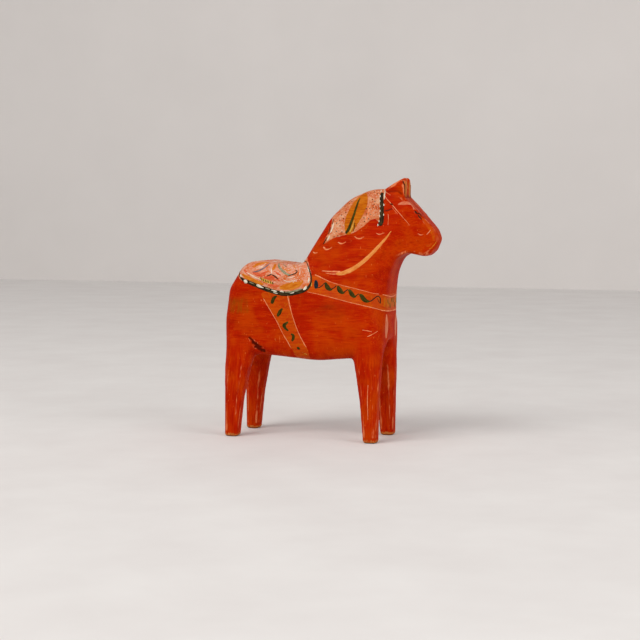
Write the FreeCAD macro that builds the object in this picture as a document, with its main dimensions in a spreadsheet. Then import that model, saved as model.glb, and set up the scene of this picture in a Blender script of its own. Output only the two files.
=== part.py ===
"""A carved and painted wooden horse, 150 mm tall, standing on four feet.

The horse is one block of pine, sawn from a plank and rounded with a knife.  Every painted
ornament is a thin coat of its own that lies on the wood.  Millimetres, +Z up, head to +X.
The origin is on the floor, under the middle of the horse.
"""
import FreeCAD, Part
import math
import os

import Sketcher

VECTOR = FreeCAD.Vector

# Driving sizes in millimetres: alias, value, meaning.
SIZES = [
    ("body_length", 96.8, "rump to chest"),
    ("head_reach", 28.6, "chest to nose"),
    ("belly_height", 45.4, "floor to the lowest point of the belly"),
    ("body_depth", 56.9, "belly to back"),
    ("neck_rise", 41.9, "back to poll"),
    ("ear_rise", 6.1, "poll to ear tips"),
    ("plank_width", 42.6, "thickness of the plank the horse is sawn from"),
    ("shoulder_height", 70.0, "floor to where the neck starts to narrow"),
    ("ear_width", 13.0, "across both ears at their tips"),
    ("muzzle_width", 11.0, "across the nose"),
    ("cheek_width", 21.0, "across the cheeks"),
    ("chest_facet", 13.0, "width of the flat facet down the chest"),
    ("chest_turn", 27.4, "across the chest where its bevels turn into the flanks"),
    ("chest_bevel", 2.1, "depth of the bevels beside the facet"),
    ("chest_side", 8.0, "depth of the turn from chest to flank"),
    ("body_round", 8.5, "knife rounding of back, rump and belly"),
    ("crest_round", 6.8, "knife rounding of the crest"),
    ("head_bevel", 1.4, "bevel round the face"),
    ("foot_length", 7.8, "foot, front to back"),
    ("foot_width", 8.2, "foot, side to side"),
    ("foot_bevel", 0.9, "bevel round the sole"),
    ("leg_corner", 1.3, "cut corners of a leg"),
    ("fore_foot_setback", 3.4, "how far a fore foot stands back from the chest"),
    ("hind_foot_setback", 1.0, "how far a hind foot stands forward of the rump"),
    ("fore_leg_front", 2.6, "how far a foreleg widens to the front at the belly"),
    ("hind_leg_rear", 1.0, "how far a hind leg widens to the rear at the belly"),
    ("fore_leg_spread", 9.6, "how far a foreleg widens to the rear at the belly"),
    ("hind_leg_spread", 12.0, "how far a hind leg widens to the front at the belly"),
    ("gap_width", 25.8, "between the feet, right to left"),
    ("gap_top", 8.0, "width of the gap at its top"),
    ("gap_height", 57.0, "floor to the top of the gap between the legs"),
    ("leg_run", 14.0, "how far the legs reach up into the barrel above that gap"),
    ("shoulder_corner", 5.0, "cut corners of a leg where it leaves the barrel"),
    ("ear_notch_width", 3.2, "notch between the ears at their tips"),
    ("ear_notch_depth", 9.0, "depth of that notch"),
    ("coat", 0.25, "thickness of one coat of ornament paint"),
]

REAR_X = "-(Sizes.body_length + Sizes.head_reach) / 2"
CHEST_X = "(Sizes.body_length - Sizes.head_reach) / 2"
NOSE_X = "(Sizes.body_length + Sizes.head_reach) / 2"
BELLY_Z = "Sizes.belly_height"
BACK_Z = "Sizes.belly_height + Sizes.body_depth"
POLL_Z = BACK_Z + " + Sizes.neck_rise"
EAR_Z = POLL_Z + " + Sizes.ear_rise"

MARGIN = 20.0          # how far cutting tools reach past the wood
SAME_PLACE = 0.2       # two places nearer than this are one corner
SHORTEST_EDGE = 3.0    # a side-to-side edge shorter than this is no corner of the outline
NEARLY_ONE = 0.99      # an edge runs side to side if its direction has this much y
LEAST_CUT = 0.1        # cubic millimetres; a cut that takes less has missed


def start_document():
    """A new document with the sheet of driving sizes."""
    doc = FreeCAD.newDocument("Horse")
    sheet = doc.addObject("Spreadsheet::Sheet", "Sizes")
    for row, (alias, value, meaning) in enumerate(SIZES, start=1):
        sheet.set(f"A{row}", meaning)
        sheet.set(f"B{row}", str(value))
        sheet.setAlias(f"B{row}", alias)
    doc.recompute()
    return doc


def plus(base, offset):
    """The expression for a place that lies a fixed offset from a named one."""
    return f"{base} + {offset}"


def add_body(doc, name):
    body = doc.addObject("PartDesign::Body", name)
    body.Label = name
    return body


def add_sketch(body, name, plane, height=None):
    """An empty sketch on an origin plane of its body, raised by an expression if one is given."""
    sketch = body.newObject("Sketcher::SketchObject", name)
    support = [part for part in body.Origin.OriginFeatures if part.Role == plane][0]
    sketch.AttachmentSupport = (support, [""])
    sketch.MapMode = "FlatFace"
    if height is not None:
        sketch.setExpression("AttachmentOffset.Base.z", height)
    return sketch


def sketch_corner(sketch, index):
    """Where a corner of a sketch lies, in the sketch's own two directions."""
    point = sketch.Geometry[index].StartPoint
    return (point.x, point.y)


def corner_shifts(corners):
    """For each corner of a closed outline, the shift that moves both its sides out by one."""
    area = 0.0
    count = len(corners)
    for index, (x, y) in enumerate(corners):
        next_x, next_y = corners[(index + 1) % count]
        area += x * next_y - next_x * y
    turn = 1.0 if area > 0 else -1.0
    normals = []
    for index, (x, y) in enumerate(corners):
        next_x, next_y = corners[(index + 1) % count]
        length = math.hypot(next_x - x, next_y - y)
        normals.append((turn * (next_y - y) / length, -turn * (next_x - x) / length))
    shifts = []
    for index, (x, y) in enumerate(normals):
        other_x, other_y = normals[index - 1]
        scale = 1.0 + x * other_x + y * other_y
        shifts.append(((x + other_x) / scale, (y + other_y) / scale))
    return shifts


def draw_outline(sketch, points, coats=0):
    """A closed outline of straight cuts through points given as pairs of expressions.

    With coats, the outline is drawn again outside itself by that many coats of paint.
    """
    first = sketch.GeometryCount
    count = len(points)
    spots = []
    for index in range(count):
        angle = 2 * math.pi * index / count
        spots.append(VECTOR(100 * math.cos(angle), 100 * math.sin(angle), 0))
    for index in range(count):
        sketch.addGeometry(Part.LineSegment(spots[index], spots[(index + 1) % count]))
    for index in range(count):
        following = first + (index + 1) % count
        sketch.addConstraint(Sketcher.Constraint("Coincident", first + index, 2, following, 1))
    numbers = []
    for index, point in enumerate(points):
        start = (first + index, 1)
        for kind, text, guess in zip(("DistanceX", "DistanceY"), point, spots[index]):
            number = sketch.addConstraint(Sketcher.Constraint(kind, -1, 1, *start, guess))
            sketch.setExpression(f"Constraints[{number}]", text)
            numbers.append(number)
    if coats == 0:
        return
    sketch.Document.recompute()
    corners = [sketch_corner(sketch, first + index) for index in range(count)]
    for index, shift in enumerate(corner_shifts(corners)):
        for axis in (0, 1):
            text = f"{points[index][axis]} + Sizes.coat * {coats * shift[axis]:.4f}"
            sketch.setExpression(f"Constraints[{numbers[2 * index + axis]}]", text)


def add_pad(body, sketch, length):
    """Pad a sketch the same distance both ways from its plane."""
    pad = body.newObject("PartDesign::Pad", sketch.Name + "_pad")
    pad.Profile = sketch
    pad.SideType = "Symmetric"
    pad.setExpression("Length", length)
    return pad


def add_pocket(body, sketch):
    """Cut a sketch right through its body, both ways."""
    body.Document.recompute()
    before = body.Shape.Volume
    pocket = body.newObject("PartDesign::Pocket", sketch.Name + "_cut")
    pocket.Profile = sketch
    pocket.SideType = "Symmetric"
    pocket.Type = "ThroughAll"
    body.Document.recompute()
    if body.Shape.Volume > before - LEAST_CUT:
        raise RuntimeError(f"{pocket.Name} cuts nothing")
    return pocket


def corner_edges(shape, corners):
    """Names of the edges that run side to side through corners given as x, z places."""
    names = []
    for number, edge in enumerate(shape.Edges, start=1):
        along = edge.tangentAt(edge.FirstParameter)
        if abs(along.y) < NEARLY_ONE or edge.Length < SHORTEST_EDGE:
            continue
        middle = edge.CenterOfMass
        for x, z in corners:
            if math.hypot(middle.x - x, middle.z - z) < SAME_PLACE:
                names.append(f"Edge{number}")
    return names


def add_fillet(body, name, edges, radius, kind="PartDesign::Fillet"):
    """Round, or bevel, edges of what the body has so far."""
    base = body.Tip
    feature = body.newObject(kind, name)
    feature.Base = (base, edges)
    feature.setExpression("Size" if kind.endswith("Chamfer") else "Radius", radius)
    body.Document.recompute()
    if not edges or "Invalid" in feature.State or not feature.Shape.isValid():
        raise RuntimeError(f"{name} could not be made")
    return feature


def round_corners(body, sketch, groups):
    """Round the side-to-side edges at numbered corners of a side view, by radius."""
    body.Document.recompute()
    places = [sketch_corner(sketch, index) for index in range(sketch.GeometryCount)]
    for number, (radius, corners) in enumerate(groups, start=1):
        edges = corner_edges(body.Shape, [places[corner] for corner in corners])
        if len(edges) < len(corners):
            raise RuntimeError(f"{sketch.Name}: a corner of group {number} was not found")
        add_fillet(body, f"{sketch.Name}_round_{number}", edges, str(radius))


def is_flank(face):
    """Whether a face looks to the side, rather than along the outline."""
    low_u, high_u, low_v, high_v = face.ParameterRange
    normal = face.normalAt((low_u + high_u) / 2, (low_v + high_v) / 2)
    return abs(normal.y) > 0.5


def outline_edges(shape, keep):
    """Names of the edges between a flank and the outline, where keep(middle) says so."""
    names = []
    for number, edge in enumerate(shape.Edges, start=1):
        sides = [is_flank(face) for face in shape.ancestorsOfType(edge, Part.Face)]
        middle = edge.valueAt((edge.FirstParameter + edge.LastParameter) / 2)
        if sorted(sides) == [False, True] and keep(middle):
            names.append(f"Edge{number}")
    return names


def zone_name(zone, coats):
    """The name of a carved zone, or of the same zone under a number of coats of paint."""
    return zone if coats == 0 else f"{zone}_under_coat_{coats}"


def grown_width(coats):
    """The plank's width with that many coats of paint on both sides."""
    return f"Sizes.plank_width + Sizes.coat * {2 * coats}"


def make_barrel(doc, coats=0):
    """Rump, back, flanks, belly and chest: a plank outline with its edges well rounded."""
    name = zone_name("barrel", coats)
    body = add_body(doc, name)
    side = add_sketch(body, f"{name}_side", "XZ_Plane")
    draw_outline(side, [
        (plus(REAR_X, 3.2), plus(BELLY_Z, 3.0)),
        (plus(REAR_X, 0.0), plus(BELLY_Z, 26.0)),
        (plus(REAR_X, 2.6), plus(BACK_Z, -15.5)),
        (plus(REAR_X, 12.0), plus(BACK_Z, -1.2)),
        (plus(REAR_X, 20.0), plus(BACK_Z, 0.2)),
        (plus(REAR_X, 38.0), plus(BACK_Z, -1.8)),
        (plus(REAR_X, 48.0), plus(BACK_Z, -1.6)),
        (plus(REAR_X, 66.0), plus(BACK_Z, -16.0)),
        (plus(CHEST_X, -3.0), plus(BACK_Z, -23.0)),
        (plus(CHEST_X, 0.0), plus(BACK_Z, -32.0)),
        (plus(CHEST_X, -0.2), plus(BELLY_Z, 11.0)),
        (plus(CHEST_X, -3.0), plus(BELLY_Z, 4.5)),
        (plus(CHEST_X, -20.0), plus(BELLY_Z, 1.9)),
        (plus(CHEST_X, -40.0), plus(BELLY_Z, 0.0)),
        (plus(CHEST_X, -68.0), plus(BELLY_Z, 2.2)),
    ], coats)
    add_pad(body, side, grown_width(coats))
    round_corners(body, side, [(12, [2, 3]), (18, [1, 4, 5]), (40, [13])])
    rim = outline_edges(body.Shape, lambda middle: True)
    add_fillet(body, f"{name}_rim", rim, f"Sizes.body_round + Sizes.coat * {coats}")
    return body


def make_chest_cutter(doc, coats):
    """What the knife takes off both sides of the chest, below the neck."""
    name = zone_name("chest_cut", coats)
    body = add_body(doc, name)
    plan = add_sketch(body, f"{name}_plan", "XY_Plane")
    for sign in ("", "-"):
        draw_outline(plan, [
            (plus(CHEST_X, 0.0), f"{sign}Sizes.chest_facet / 2"),
            (f"{CHEST_X} - Sizes.chest_bevel", f"{sign}Sizes.chest_turn / 2"),
            (f"{CHEST_X} - Sizes.chest_side", f"{sign}Sizes.plank_width / 2"),
            (f"{CHEST_X} - Sizes.chest_side", f"{sign}(Sizes.plank_width / 2 + {MARGIN})"),
            (plus(CHEST_X, MARGIN), f"{sign}(Sizes.plank_width / 2 + {MARGIN})"),
            (plus(CHEST_X, MARGIN), f"{sign}Sizes.chest_facet / 2"),
        ], -coats)
    add_pad(body, plan, f"({BACK_Z}) * 2")
    return body


def make_neck_and_head(doc, coats=0):
    """Neck, crest and head, tapered upwards and towards the nose."""
    name = zone_name("neck", coats)
    body = add_body(doc, name)
    side = add_sketch(body, f"{name}_side", "XZ_Plane")
    draw_outline(side, [
        (plus(REAR_X, 41.6), plus(BACK_Z, -9.0)),
        (plus(REAR_X, 61.6), plus(POLL_Z, -17.2)),
        (plus(REAR_X, 73.0), plus(POLL_Z, -6.0)),
        (plus(REAR_X, 85.4), plus(POLL_Z, -0.6)),
        (plus(NOSE_X, -24.0), plus(POLL_Z, -0.4)),
        (plus(NOSE_X, -12.4), plus(POLL_Z, -12.2)),
        (plus(NOSE_X, -1.6), plus(POLL_Z, -23.6)),
        (plus(NOSE_X, 0.4), plus(POLL_Z, -28.6)),
        (plus(NOSE_X, -2.4), plus(POLL_Z, -34.6)),
        (plus(NOSE_X, -7.0), plus(POLL_Z, -38.8)),
        (plus(NOSE_X, -17.4), plus(POLL_Z, -36.4)),
        (plus(CHEST_X, 5.4), plus(BACK_Z, 3.0)),
        (plus(CHEST_X, 1.4), plus(BACK_Z, -6.0)),
        (plus(CHEST_X, 0.0), plus(BACK_Z, -18.0)),
        (plus(CHEST_X, 0.0), plus(BACK_Z, -34.0)),
        (plus(CHEST_X, -30.0), plus(BACK_Z, -34.0)),
    ], coats)
    add_pad(body, side, grown_width(coats))
    front = add_sketch(body, f"{name}_front", "YZ_Plane")
    for sign in ("", "-"):
        draw_outline(front, [
            (f"{sign}Sizes.plank_width / 2", "Sizes.shoulder_height"),
            (f"{sign}Sizes.ear_width / 2", EAR_Z),
            (f"{sign}Sizes.ear_width / 2", plus(EAR_Z, MARGIN)),
            (f"{sign}(Sizes.plank_width / 2 + {MARGIN})", plus(EAR_Z, MARGIN)),
            (f"{sign}(Sizes.plank_width / 2 + {MARGIN})", "Sizes.shoulder_height"),
        ], -coats)
    add_pocket(body, front)
    plan = add_sketch(body, f"{name}_plan", "XY_Plane")
    for sign in ("", "-"):
        draw_outline(plan, [
            (f"{CHEST_X} - Sizes.chest_side", f"{sign}(Sizes.plank_width / 2 + 0.1)"),
            (f"{CHEST_X} - Sizes.chest_bevel", f"{sign}Sizes.chest_turn / 2"),
            (plus(CHEST_X, 8.0), f"{sign}Sizes.cheek_width / 2"),
            (NOSE_X, f"{sign}Sizes.muzzle_width / 2"),
            (plus(NOSE_X, MARGIN), f"{sign}Sizes.muzzle_width / 2"),
            (plus(NOSE_X, MARGIN), f"{sign}(Sizes.plank_width / 2 + {MARGIN})"),
            (f"{CHEST_X} - Sizes.chest_side", f"{sign}(Sizes.plank_width / 2 + {MARGIN})"),
        ], -coats)
    add_pocket(body, plan)
    round_corners(body, side, [(24, [1, 2, 3]), (3.5, [6, 7, 8, 9]), (6, [11]), (14, [12])])
    places = [sketch_corner(side, index) for index in range(side.GeometryCount)]
    poll = places[4]
    throat = places[10]
    crest = outline_edges(body.Shape, lambda middle: middle.z > places[0][1]
                          and middle.z - middle.x > poll[1] - poll[0])
    add_fillet(body, f"{name}_crest_rim", crest, f"Sizes.crest_round + Sizes.coat * {coats}")
    face = outline_edges(body.Shape, lambda middle: middle.x > throat[0] + SAME_PLACE)
    if coats == 0:
        add_fillet(body, f"{name}_face_rim", face, "Sizes.head_bevel", "PartDesign::Chamfer")
    return body


EAR_SETBACK = 19.6     # from the nose back to the ears' front faces
NOTCH_SETBACK = 4.4    # from there back to the middle of the notch's cutter


def cut_ear_corners(body, name):
    """Take off the outer top corners of both ears, as seen from the front."""
    front = add_sketch(body, f"{name}_corners", "YZ_Plane")
    for sign in ("", "-"):
        draw_outline(front, [
            (f"{sign}Sizes.ear_width / 2", plus(EAR_Z, -4.4)),
            (f"{sign}(Sizes.ear_width / 2 - 1.1)", plus(EAR_Z, -1.5)),
            (f"{sign}(Sizes.ear_width / 2 - 3.2)", EAR_Z),
            (f"{sign}(Sizes.ear_width / 2 - 3.2)", plus(EAR_Z, MARGIN)),
            (f"{sign}(Sizes.ear_width / 2 + {MARGIN})", plus(EAR_Z, MARGIN)),
            (f"{sign}(Sizes.ear_width / 2 + {MARGIN})", plus(EAR_Z, -4.4)),
        ])
    add_pocket(body, front)


def make_ears(doc):
    """Both ears as one block that rises from the poll, still to be notched."""
    body = add_body(doc, "ears")
    side = add_sketch(body, "ears_side", "XZ_Plane")
    draw_outline(side, [
        (plus(NOSE_X, -34.0), plus(POLL_Z, -6.0)),
        (plus(NOSE_X, -32.0), plus(POLL_Z, -0.9)),
        (plus(NOSE_X, -26.2), plus(EAR_Z, -3.4)),
        (plus(NOSE_X, -20.4), plus(EAR_Z, 0.0)),
        (plus(NOSE_X, -19.4), plus(EAR_Z, -1.0)),
        (plus(NOSE_X, -EAR_SETBACK), plus(POLL_Z, -7.0)),
    ])
    add_pad(body, side, "Sizes.ear_width")
    cut_ear_corners(body, "ears")
    return body


def leg_section(body, name, height, rear, front, inner, outer, corner):
    """One level of a leg: a rectangle with its four corners cut off."""
    sketch = add_sketch(body, name, "XY_Plane", height)
    draw_outline(sketch, [
        (plus(rear, corner), outer), (rear, f"{outer} - {corner}"),
        (rear, f"{inner} + {corner}"), (plus(rear, corner), inner),
        (f"{front} - {corner}", inner), (front, f"{inner} + {corner}"),
        (front, f"{outer} - {corner}"), (f"{front} - {corner}", outer),
    ])
    return sketch


def make_leg(doc, name, levels):
    """A leg for the left side, lofted straight from the sole up through its levels."""
    body = add_body(doc, name)
    sections = []
    for number, level in enumerate(levels):
        sections.append(leg_section(body, f"{name}_level_{number}", *level))
    loft = body.newObject("PartDesign::AdditiveLoft", f"{name}_loft")
    loft.Profile = sections[0]
    loft.Sections = sections[1:]
    loft.Ruled = True
    return body


LEG_INSET = 0.05   # how far the top of a leg stays inside the flank

# Levels of a leg above its sole: share of the gap's height, and share of the leg's flare there.
LEG_LEVELS = ((0.40, 0.22), (0.70, 0.52), (1.0, 1.0))


def inner_face(share, drift):
    """How far the inner face of a leg stands from the middle plane at one of those levels."""
    low = "Sizes.gap_width / 2"
    high = "Sizes.gap_top / 2"
    return f"({low} + ({high} - {low}) * {drift * share})"


def leg_levels(rear, front, flare_rear, flare_front):
    """Levels of a leg from the sole up; the flares say how far it widens by the belly."""
    inner = "Sizes.gap_width / 2"
    outer = "(Sizes.gap_width / 2 + Sizes.foot_width)"
    flank = f"(Sizes.plank_width / 2 - {LEG_INSET})"
    bevel = "Sizes.foot_bevel"
    corner = "Sizes.leg_corner"
    shoulder = "Sizes.shoulder_corner"
    top = "Sizes.gap_height"
    levels = [
        ("0", plus(rear, bevel), f"{front} - {bevel}", plus(inner, bevel), f"{outer} - {bevel}", corner),
        (bevel, rear, front, inner, outer, corner),
    ]
    for share, drift in LEG_LEVELS:
        levels.append((
            f"{top} * {share}",
            f"{rear} - ({flare_rear}) * {drift}",
            f"{front} + ({flare_front}) * {drift}",
            inner_face(share, drift),
            f"{outer} + ({flank} - {outer}) * {share}",
            f"({corner} + ({shoulder} - {corner}) * {drift})",
        ))
    last = levels[-1]
    levels.append((f"{top} + Sizes.leg_run",) + last[1:])
    return levels


def make_legs(doc):
    """Four legs: each pair is one loft and its mirror image."""
    fore_front = f"{CHEST_X} - Sizes.fore_foot_setback"
    fore_rear = f"{fore_front} - Sizes.foot_length"
    hind_rear = f"{REAR_X} + Sizes.hind_foot_setback"
    hind_front = f"{hind_rear} + Sizes.foot_length"
    legs = [
        make_leg(doc, "left_foreleg", leg_levels(
            fore_rear, fore_front, "Sizes.fore_leg_spread", "Sizes.fore_leg_front")),
        make_leg(doc, "left_hind_leg", leg_levels(
            hind_rear, hind_front, "Sizes.hind_leg_rear", "Sizes.hind_leg_spread")),
    ]
    for leg in list(legs):
        mirror = doc.addObject("Part::Mirroring", leg.Name.replace("left", "right"))
        mirror.Source = leg
        mirror.Normal = VECTOR(0, 1, 0)
        legs.append(mirror)
    return legs


GAP_SPARE = 6.6    # how much longer the gap's cutter is than two feet and the margin


def make_gap_cutter(doc, name, place):
    """The sawn gap between a pair of legs, where it runs up into the barrel."""
    body = add_body(doc, name)
    section = add_sketch(body, f"{name}_section", "YZ_Plane")
    low = f"Sizes.gap_height * {LEG_LEVELS[1][0]}"
    wide = inner_face(*LEG_LEVELS[1])
    draw_outline(section, [
        ("Sizes.gap_top / 2", "Sizes.gap_height"), (wide, low),
        (f"-{wide}", low), ("-Sizes.gap_top / 2", "Sizes.gap_height"),
    ])
    add_pad(body, section, f"Sizes.foot_length * 2 + {MARGIN + GAP_SPARE}")
    body.setExpression("Placement.Base.x", place)
    return body


def make_ear_notch(doc):
    """The wedge cut out between the two ears."""
    body = add_body(doc, "ear_notch")
    section = add_sketch(body, "ear_notch_section", "YZ_Plane")
    draw_outline(section, [
        ("0", f"{EAR_Z} - Sizes.ear_notch_depth"),
        ("Sizes.ear_notch_width", f"{EAR_Z} + Sizes.ear_notch_depth"),
        ("-Sizes.ear_notch_width", f"{EAR_Z} + Sizes.ear_notch_depth"),
    ])
    add_pad(body, section, f"{MARGIN}")
    body.setExpression("Placement.Base.x", f"{NOSE_X} - {EAR_SETBACK + NOTCH_SETBACK}")
    return body


def add_boolean(doc, kind, name, pieces):
    """A fusion, a cut or a common part of finished pieces."""
    result = doc.addObject(kind, name)
    result.Label = name
    if kind in ("Part::Cut", "Part::Common"):
        result.Base = pieces[0]
        result.Tool = pieces[1]
    else:
        result.Shapes = pieces
    return result


def make_trunk(doc, coats=0):
    """Barrel, neck and head in one, bare or under a number of coats of paint."""
    chest_cut = make_chest_cutter(doc, coats)
    barrel = make_barrel(doc, coats)
    neck = make_neck_and_head(doc, coats)
    barrel_cut = add_boolean(doc, "Part::Cut", zone_name("cut_barrel", coats), [barrel, chest_cut])
    return add_boolean(doc, "Part::MultiFuse", zone_name("trunk", coats), [barrel_cut, neck])


def carve_horse(doc):
    """The block of pine: trunk, ears and legs in one, with its gaps and ear notch cut."""
    notch = make_ear_notch(doc)
    cutters = [
        make_gap_cutter(doc, "fore_gap", CHEST_X),
        make_gap_cutter(doc, "hind_gap", REAR_X),
        notch,
    ]
    block = add_boolean(doc, "Part::MultiFuse", "block", [make_trunk(doc), make_ears(doc)])
    tools = doc.addObject("Part::Compound", "saw_cuts")
    tools.Links = cutters
    sawn = add_boolean(doc, "Part::Cut", "sawn_block", [block, tools])
    horse = add_boolean(doc, "Part::MultiFuse", "carved_horse", [sawn] + make_legs(doc))
    return horse, notch


def ribbon(path, widths):
    """The outline of a brush stroke along a path of points, with its width at each point."""
    near_side = []
    far_side = []
    last = len(path) - 1
    for index, (x, z) in enumerate(path):
        before_x, before_z = path[max(index - 1, 0)]
        after_x, after_z = path[min(index + 1, last)]
        length = math.hypot(after_x - before_x, after_z - before_z)
        across_x = -(after_z - before_z) / length * widths[index] / 2
        across_z = (after_x - before_x) / length * widths[index] / 2
        near_side.append((x + across_x, z + across_z))
        far_side.append((x - across_x, z - across_z))
    return near_side + far_side[::-1]


def line(start, end, width):
    """The outline of a short straight stroke."""
    return ribbon([start, end], [width, width])


# Every outline below is a side view.  Its points are offsets in x and z from an anchor.
SADDLE_ANCHOR = (REAR_X, BACK_Z)
MANE_ANCHOR = (REAR_X, POLL_Z)
FACE_ANCHOR = (NOSE_X, POLL_Z)
CHEST_ANCHOR = (CHEST_X, BACK_Z)

SADDLE = [
    (10.0, 3.0), (45.0, 3.0), (50.4, 0.4), (52.8, -4.0), (54.2, -10.0), (53.0, -15.2),
    (48.0, -17.6), (39.4, -18.8), (29.0, -17.2), (17.4, -13.0), (10.5, -9.8), (8.6, -6.5),
]
SADDLE_EDGE = [
    (49.0, -1.2), (51.4, -4.6), (52.7, -10.0), (51.6, -14.2), (47.4, -16.2), (39.4, -17.3),
    (29.4, -15.8), (18.0, -11.7), (11.4, -8.8),
]
SADDLE_PETALS = [
    ribbon([(16.0, -8.5), (22.0, -6.5), (29.0, -3.0)], [0.8, 1.8, 0.8]),
    ribbon([(31.0, -3.5), (35.0, -8.0), (42.0, -9.0), (46.0, -5.0)], [1.0, 1.8, 1.8, 0.8]),
    ribbon([(24.0, -11.5), (32.0, -12.5), (38.0, -12.0)], [0.8, 1.2, 0.8]),
]
MANE = [
    (59.7, -31.2), (62.6, -25.0), (64.2, -18.0), (60.0, -9.0), (72.0, 4.0), (94.0, 4.0),
    (94.0, -21.5), (88.0, -17.6), (84.0, -21.2), (78.0, -25.0), (71.6, -26.8), (64.7, -28.4),
]
MANE_LEAF = [ribbon([(74.0, -23.5), (76.2, -16.0), (79.6, -8.5), (84.0, -3.5)], [4.0, 9.5, 9.5, 4.0])]
MANE_STRIPE = [ribbon([(92.4, -2.0), (92.8, -10.0), (92.5, -17.0), (92.2, -20.0)], [1.0, 1.2, 1.6, 1.4])]
MANE_DASHES = [
    line((x - 1.7, z - 0.7), (x + 1.7, z + 0.7), 0.8)
    for x, z in ((53.7, -37.1), (61.6, -34.3), (69.7, -30.6), (79.7, -28.1), (92.5, -25.6))
]
NECK_STROKE = [ribbon(
    [(2.8, 17.5), (-0.6, 13.0), (-7.1, 5.9), (-14.6, -1.2), (-20.7, -5.0), (-25.9, -6.6), (-32.9, -5.7)],
    [0.6, 1.6, 2.2, 2.6, 2.6, 2.0, 0.6],
)]
STRAP_TOP = [(-40.4, -7.1), (-24.4, -12.4), (-14.7, -15.2), (-2.1, -18.5), (3.0, -20.0)]
STRAP_FOOT = [(-44.2, -16.9), (-36.7, -18.5), (-16.2, -22.3), (-2.7, -25.8), (3.0, -28.4)]
STRAP_LEAVES = [
    line((x - 1.0, z + 2.0), (x + 1.0, z - 2.0), 2.0)
    for x, z in ((-32.8, -14.0), (-25.2, -15.7), (-18.0, -17.8), (-11.2, -19.8))
] + [line((-39.6, -11.0), (-38.4, -14.0), 2.8)]
GIRTH_REAR = [(26.3, -21.0), (31.4, -30.0), (36.7, -40.4), (41.1, -48.0), (43.0, -52.0)]
GIRTH_FRONT = [(40.4, -19.3), (42.7, -28.9), (47.3, -42.2), (51.6, -48.1), (54.0, -52.0)]
GIRTH_LEAVES = [
    line(start, end, 1.7)
    for start, end in (
        ((31.8, -24.2), (35.2, -19.8)), ((34.9, -31.1), (37.7, -26.7)), ((38.8, -35.1), (40.8, -33.0)),
        ((38.8, -36.6), (41.8, -39.3)), ((42.6, -43.3), (43.9, -41.0)), ((43.2, -45.0), (45.0, -46.6)),
    )
]
BRIDLE = [
    ribbon([(-29.0, -4.8), (-26.2, -8.8), (-14.9, -21.7)], [0.5, 0.7, 0.5]),
    line((-29.6, -12.4), (-26.0, -11.4), 0.7),
    line((-4.9, -25.2), (-3.7, -23.2), 0.7),
]
EYE = [line((-12.6, -15.4), (-11.4, -17.4), 1.2), line((-11.5, -16.6), (-10.8, -18.6), 1.1)]

# Ornament: name, which coat it is, anchor, outlines.
ORNAMENTS = [
    ("saddle_paint", 1, SADDLE_ANCHOR, [SADDLE]),
    ("saddle_border", 2, SADDLE_ANCHOR, [ribbon(SADDLE_EDGE, [2.2] * len(SADDLE_EDGE))]),
    ("saddle_petals", 2, SADDLE_ANCHOR, SADDLE_PETALS),
    ("mane_paint", 1, MANE_ANCHOR, [MANE]),
    ("mane_leaf", 2, MANE_ANCHOR, MANE_LEAF),
    ("mane_stripe", 2, MANE_ANCHOR, MANE_STRIPE),
    ("mane_dashes", 1, MANE_ANCHOR, MANE_DASHES),
    ("neck_stroke", 1, CHEST_ANCHOR, NECK_STROKE),
    ("breast_strap", 1, CHEST_ANCHOR, [STRAP_TOP + STRAP_FOOT[::-1]]),
    ("breast_strap_edging", 2, CHEST_ANCHOR, [
        ribbon([(x, z - 0.5) for x, z in STRAP_TOP], [0.8] * 5),
        ribbon([(x, z + 0.5) for x, z in STRAP_FOOT], [0.8] * 5),
    ]),
    ("breast_strap_leaves", 2, CHEST_ANCHOR, STRAP_LEAVES),
    ("girth_strap", 1, SADDLE_ANCHOR, [GIRTH_REAR + GIRTH_FRONT[::-1]]),
    ("girth_strap_edging", 2, SADDLE_ANCHOR, [
        ribbon([(x + 0.6, z) for x, z in GIRTH_REAR], [0.8] * 5),
        ribbon([(x - 0.6, z) for x, z in GIRTH_FRONT], [0.8] * 5),
    ]),
    ("girth_strap_leaves", 2, SADDLE_ANCHOR, GIRTH_LEAVES),
    ("bridle_lines", 1, FACE_ANCHOR, BRIDLE),
    ("eye_marks", 1, FACE_ANCHOR, EYE),
]


def make_stencil(doc, name, anchor, outlines):
    """A side-view outline that reaches right through the horse, so both sides are painted."""
    body = add_body(doc, name)
    side = add_sketch(body, f"{name}_side", "XZ_Plane")
    for outline in outlines:
        draw_outline(side, [(plus(anchor[0], round(x, 3)), plus(anchor[1], round(z, 3))) for x, z in outline])
    add_pad(body, side, f"Sizes.plank_width + {MARGIN}")
    return body


def make_ear_paint(doc, horse, notch):
    """The light coat on the front faces of both ears, open at the notch between them."""
    body = add_body(doc, "ear_front")
    side = add_sketch(body, "ear_front_side", "XZ_Plane")
    draw_outline(side, [
        (plus(NOSE_X, -EAR_SETBACK), plus(POLL_Z, -4.5)),
        (plus(NOSE_X, -19.4), plus(EAR_Z, -1.2)),
        (f"{NOSE_X} - 19.4 + Sizes.coat", plus(EAR_Z, -1.2)),
        (f"{NOSE_X} - {EAR_SETBACK} + Sizes.coat", plus(POLL_Z, -4.5)),
    ])
    add_pad(body, side, "Sizes.ear_width")
    cut_ear_corners(body, "ear_front")
    open_front = add_boolean(doc, "Part::Cut", "notched_ear_front", [body, notch])
    return add_boolean(doc, "Part::Cut", "ear_paint", [open_front, horse])


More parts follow.
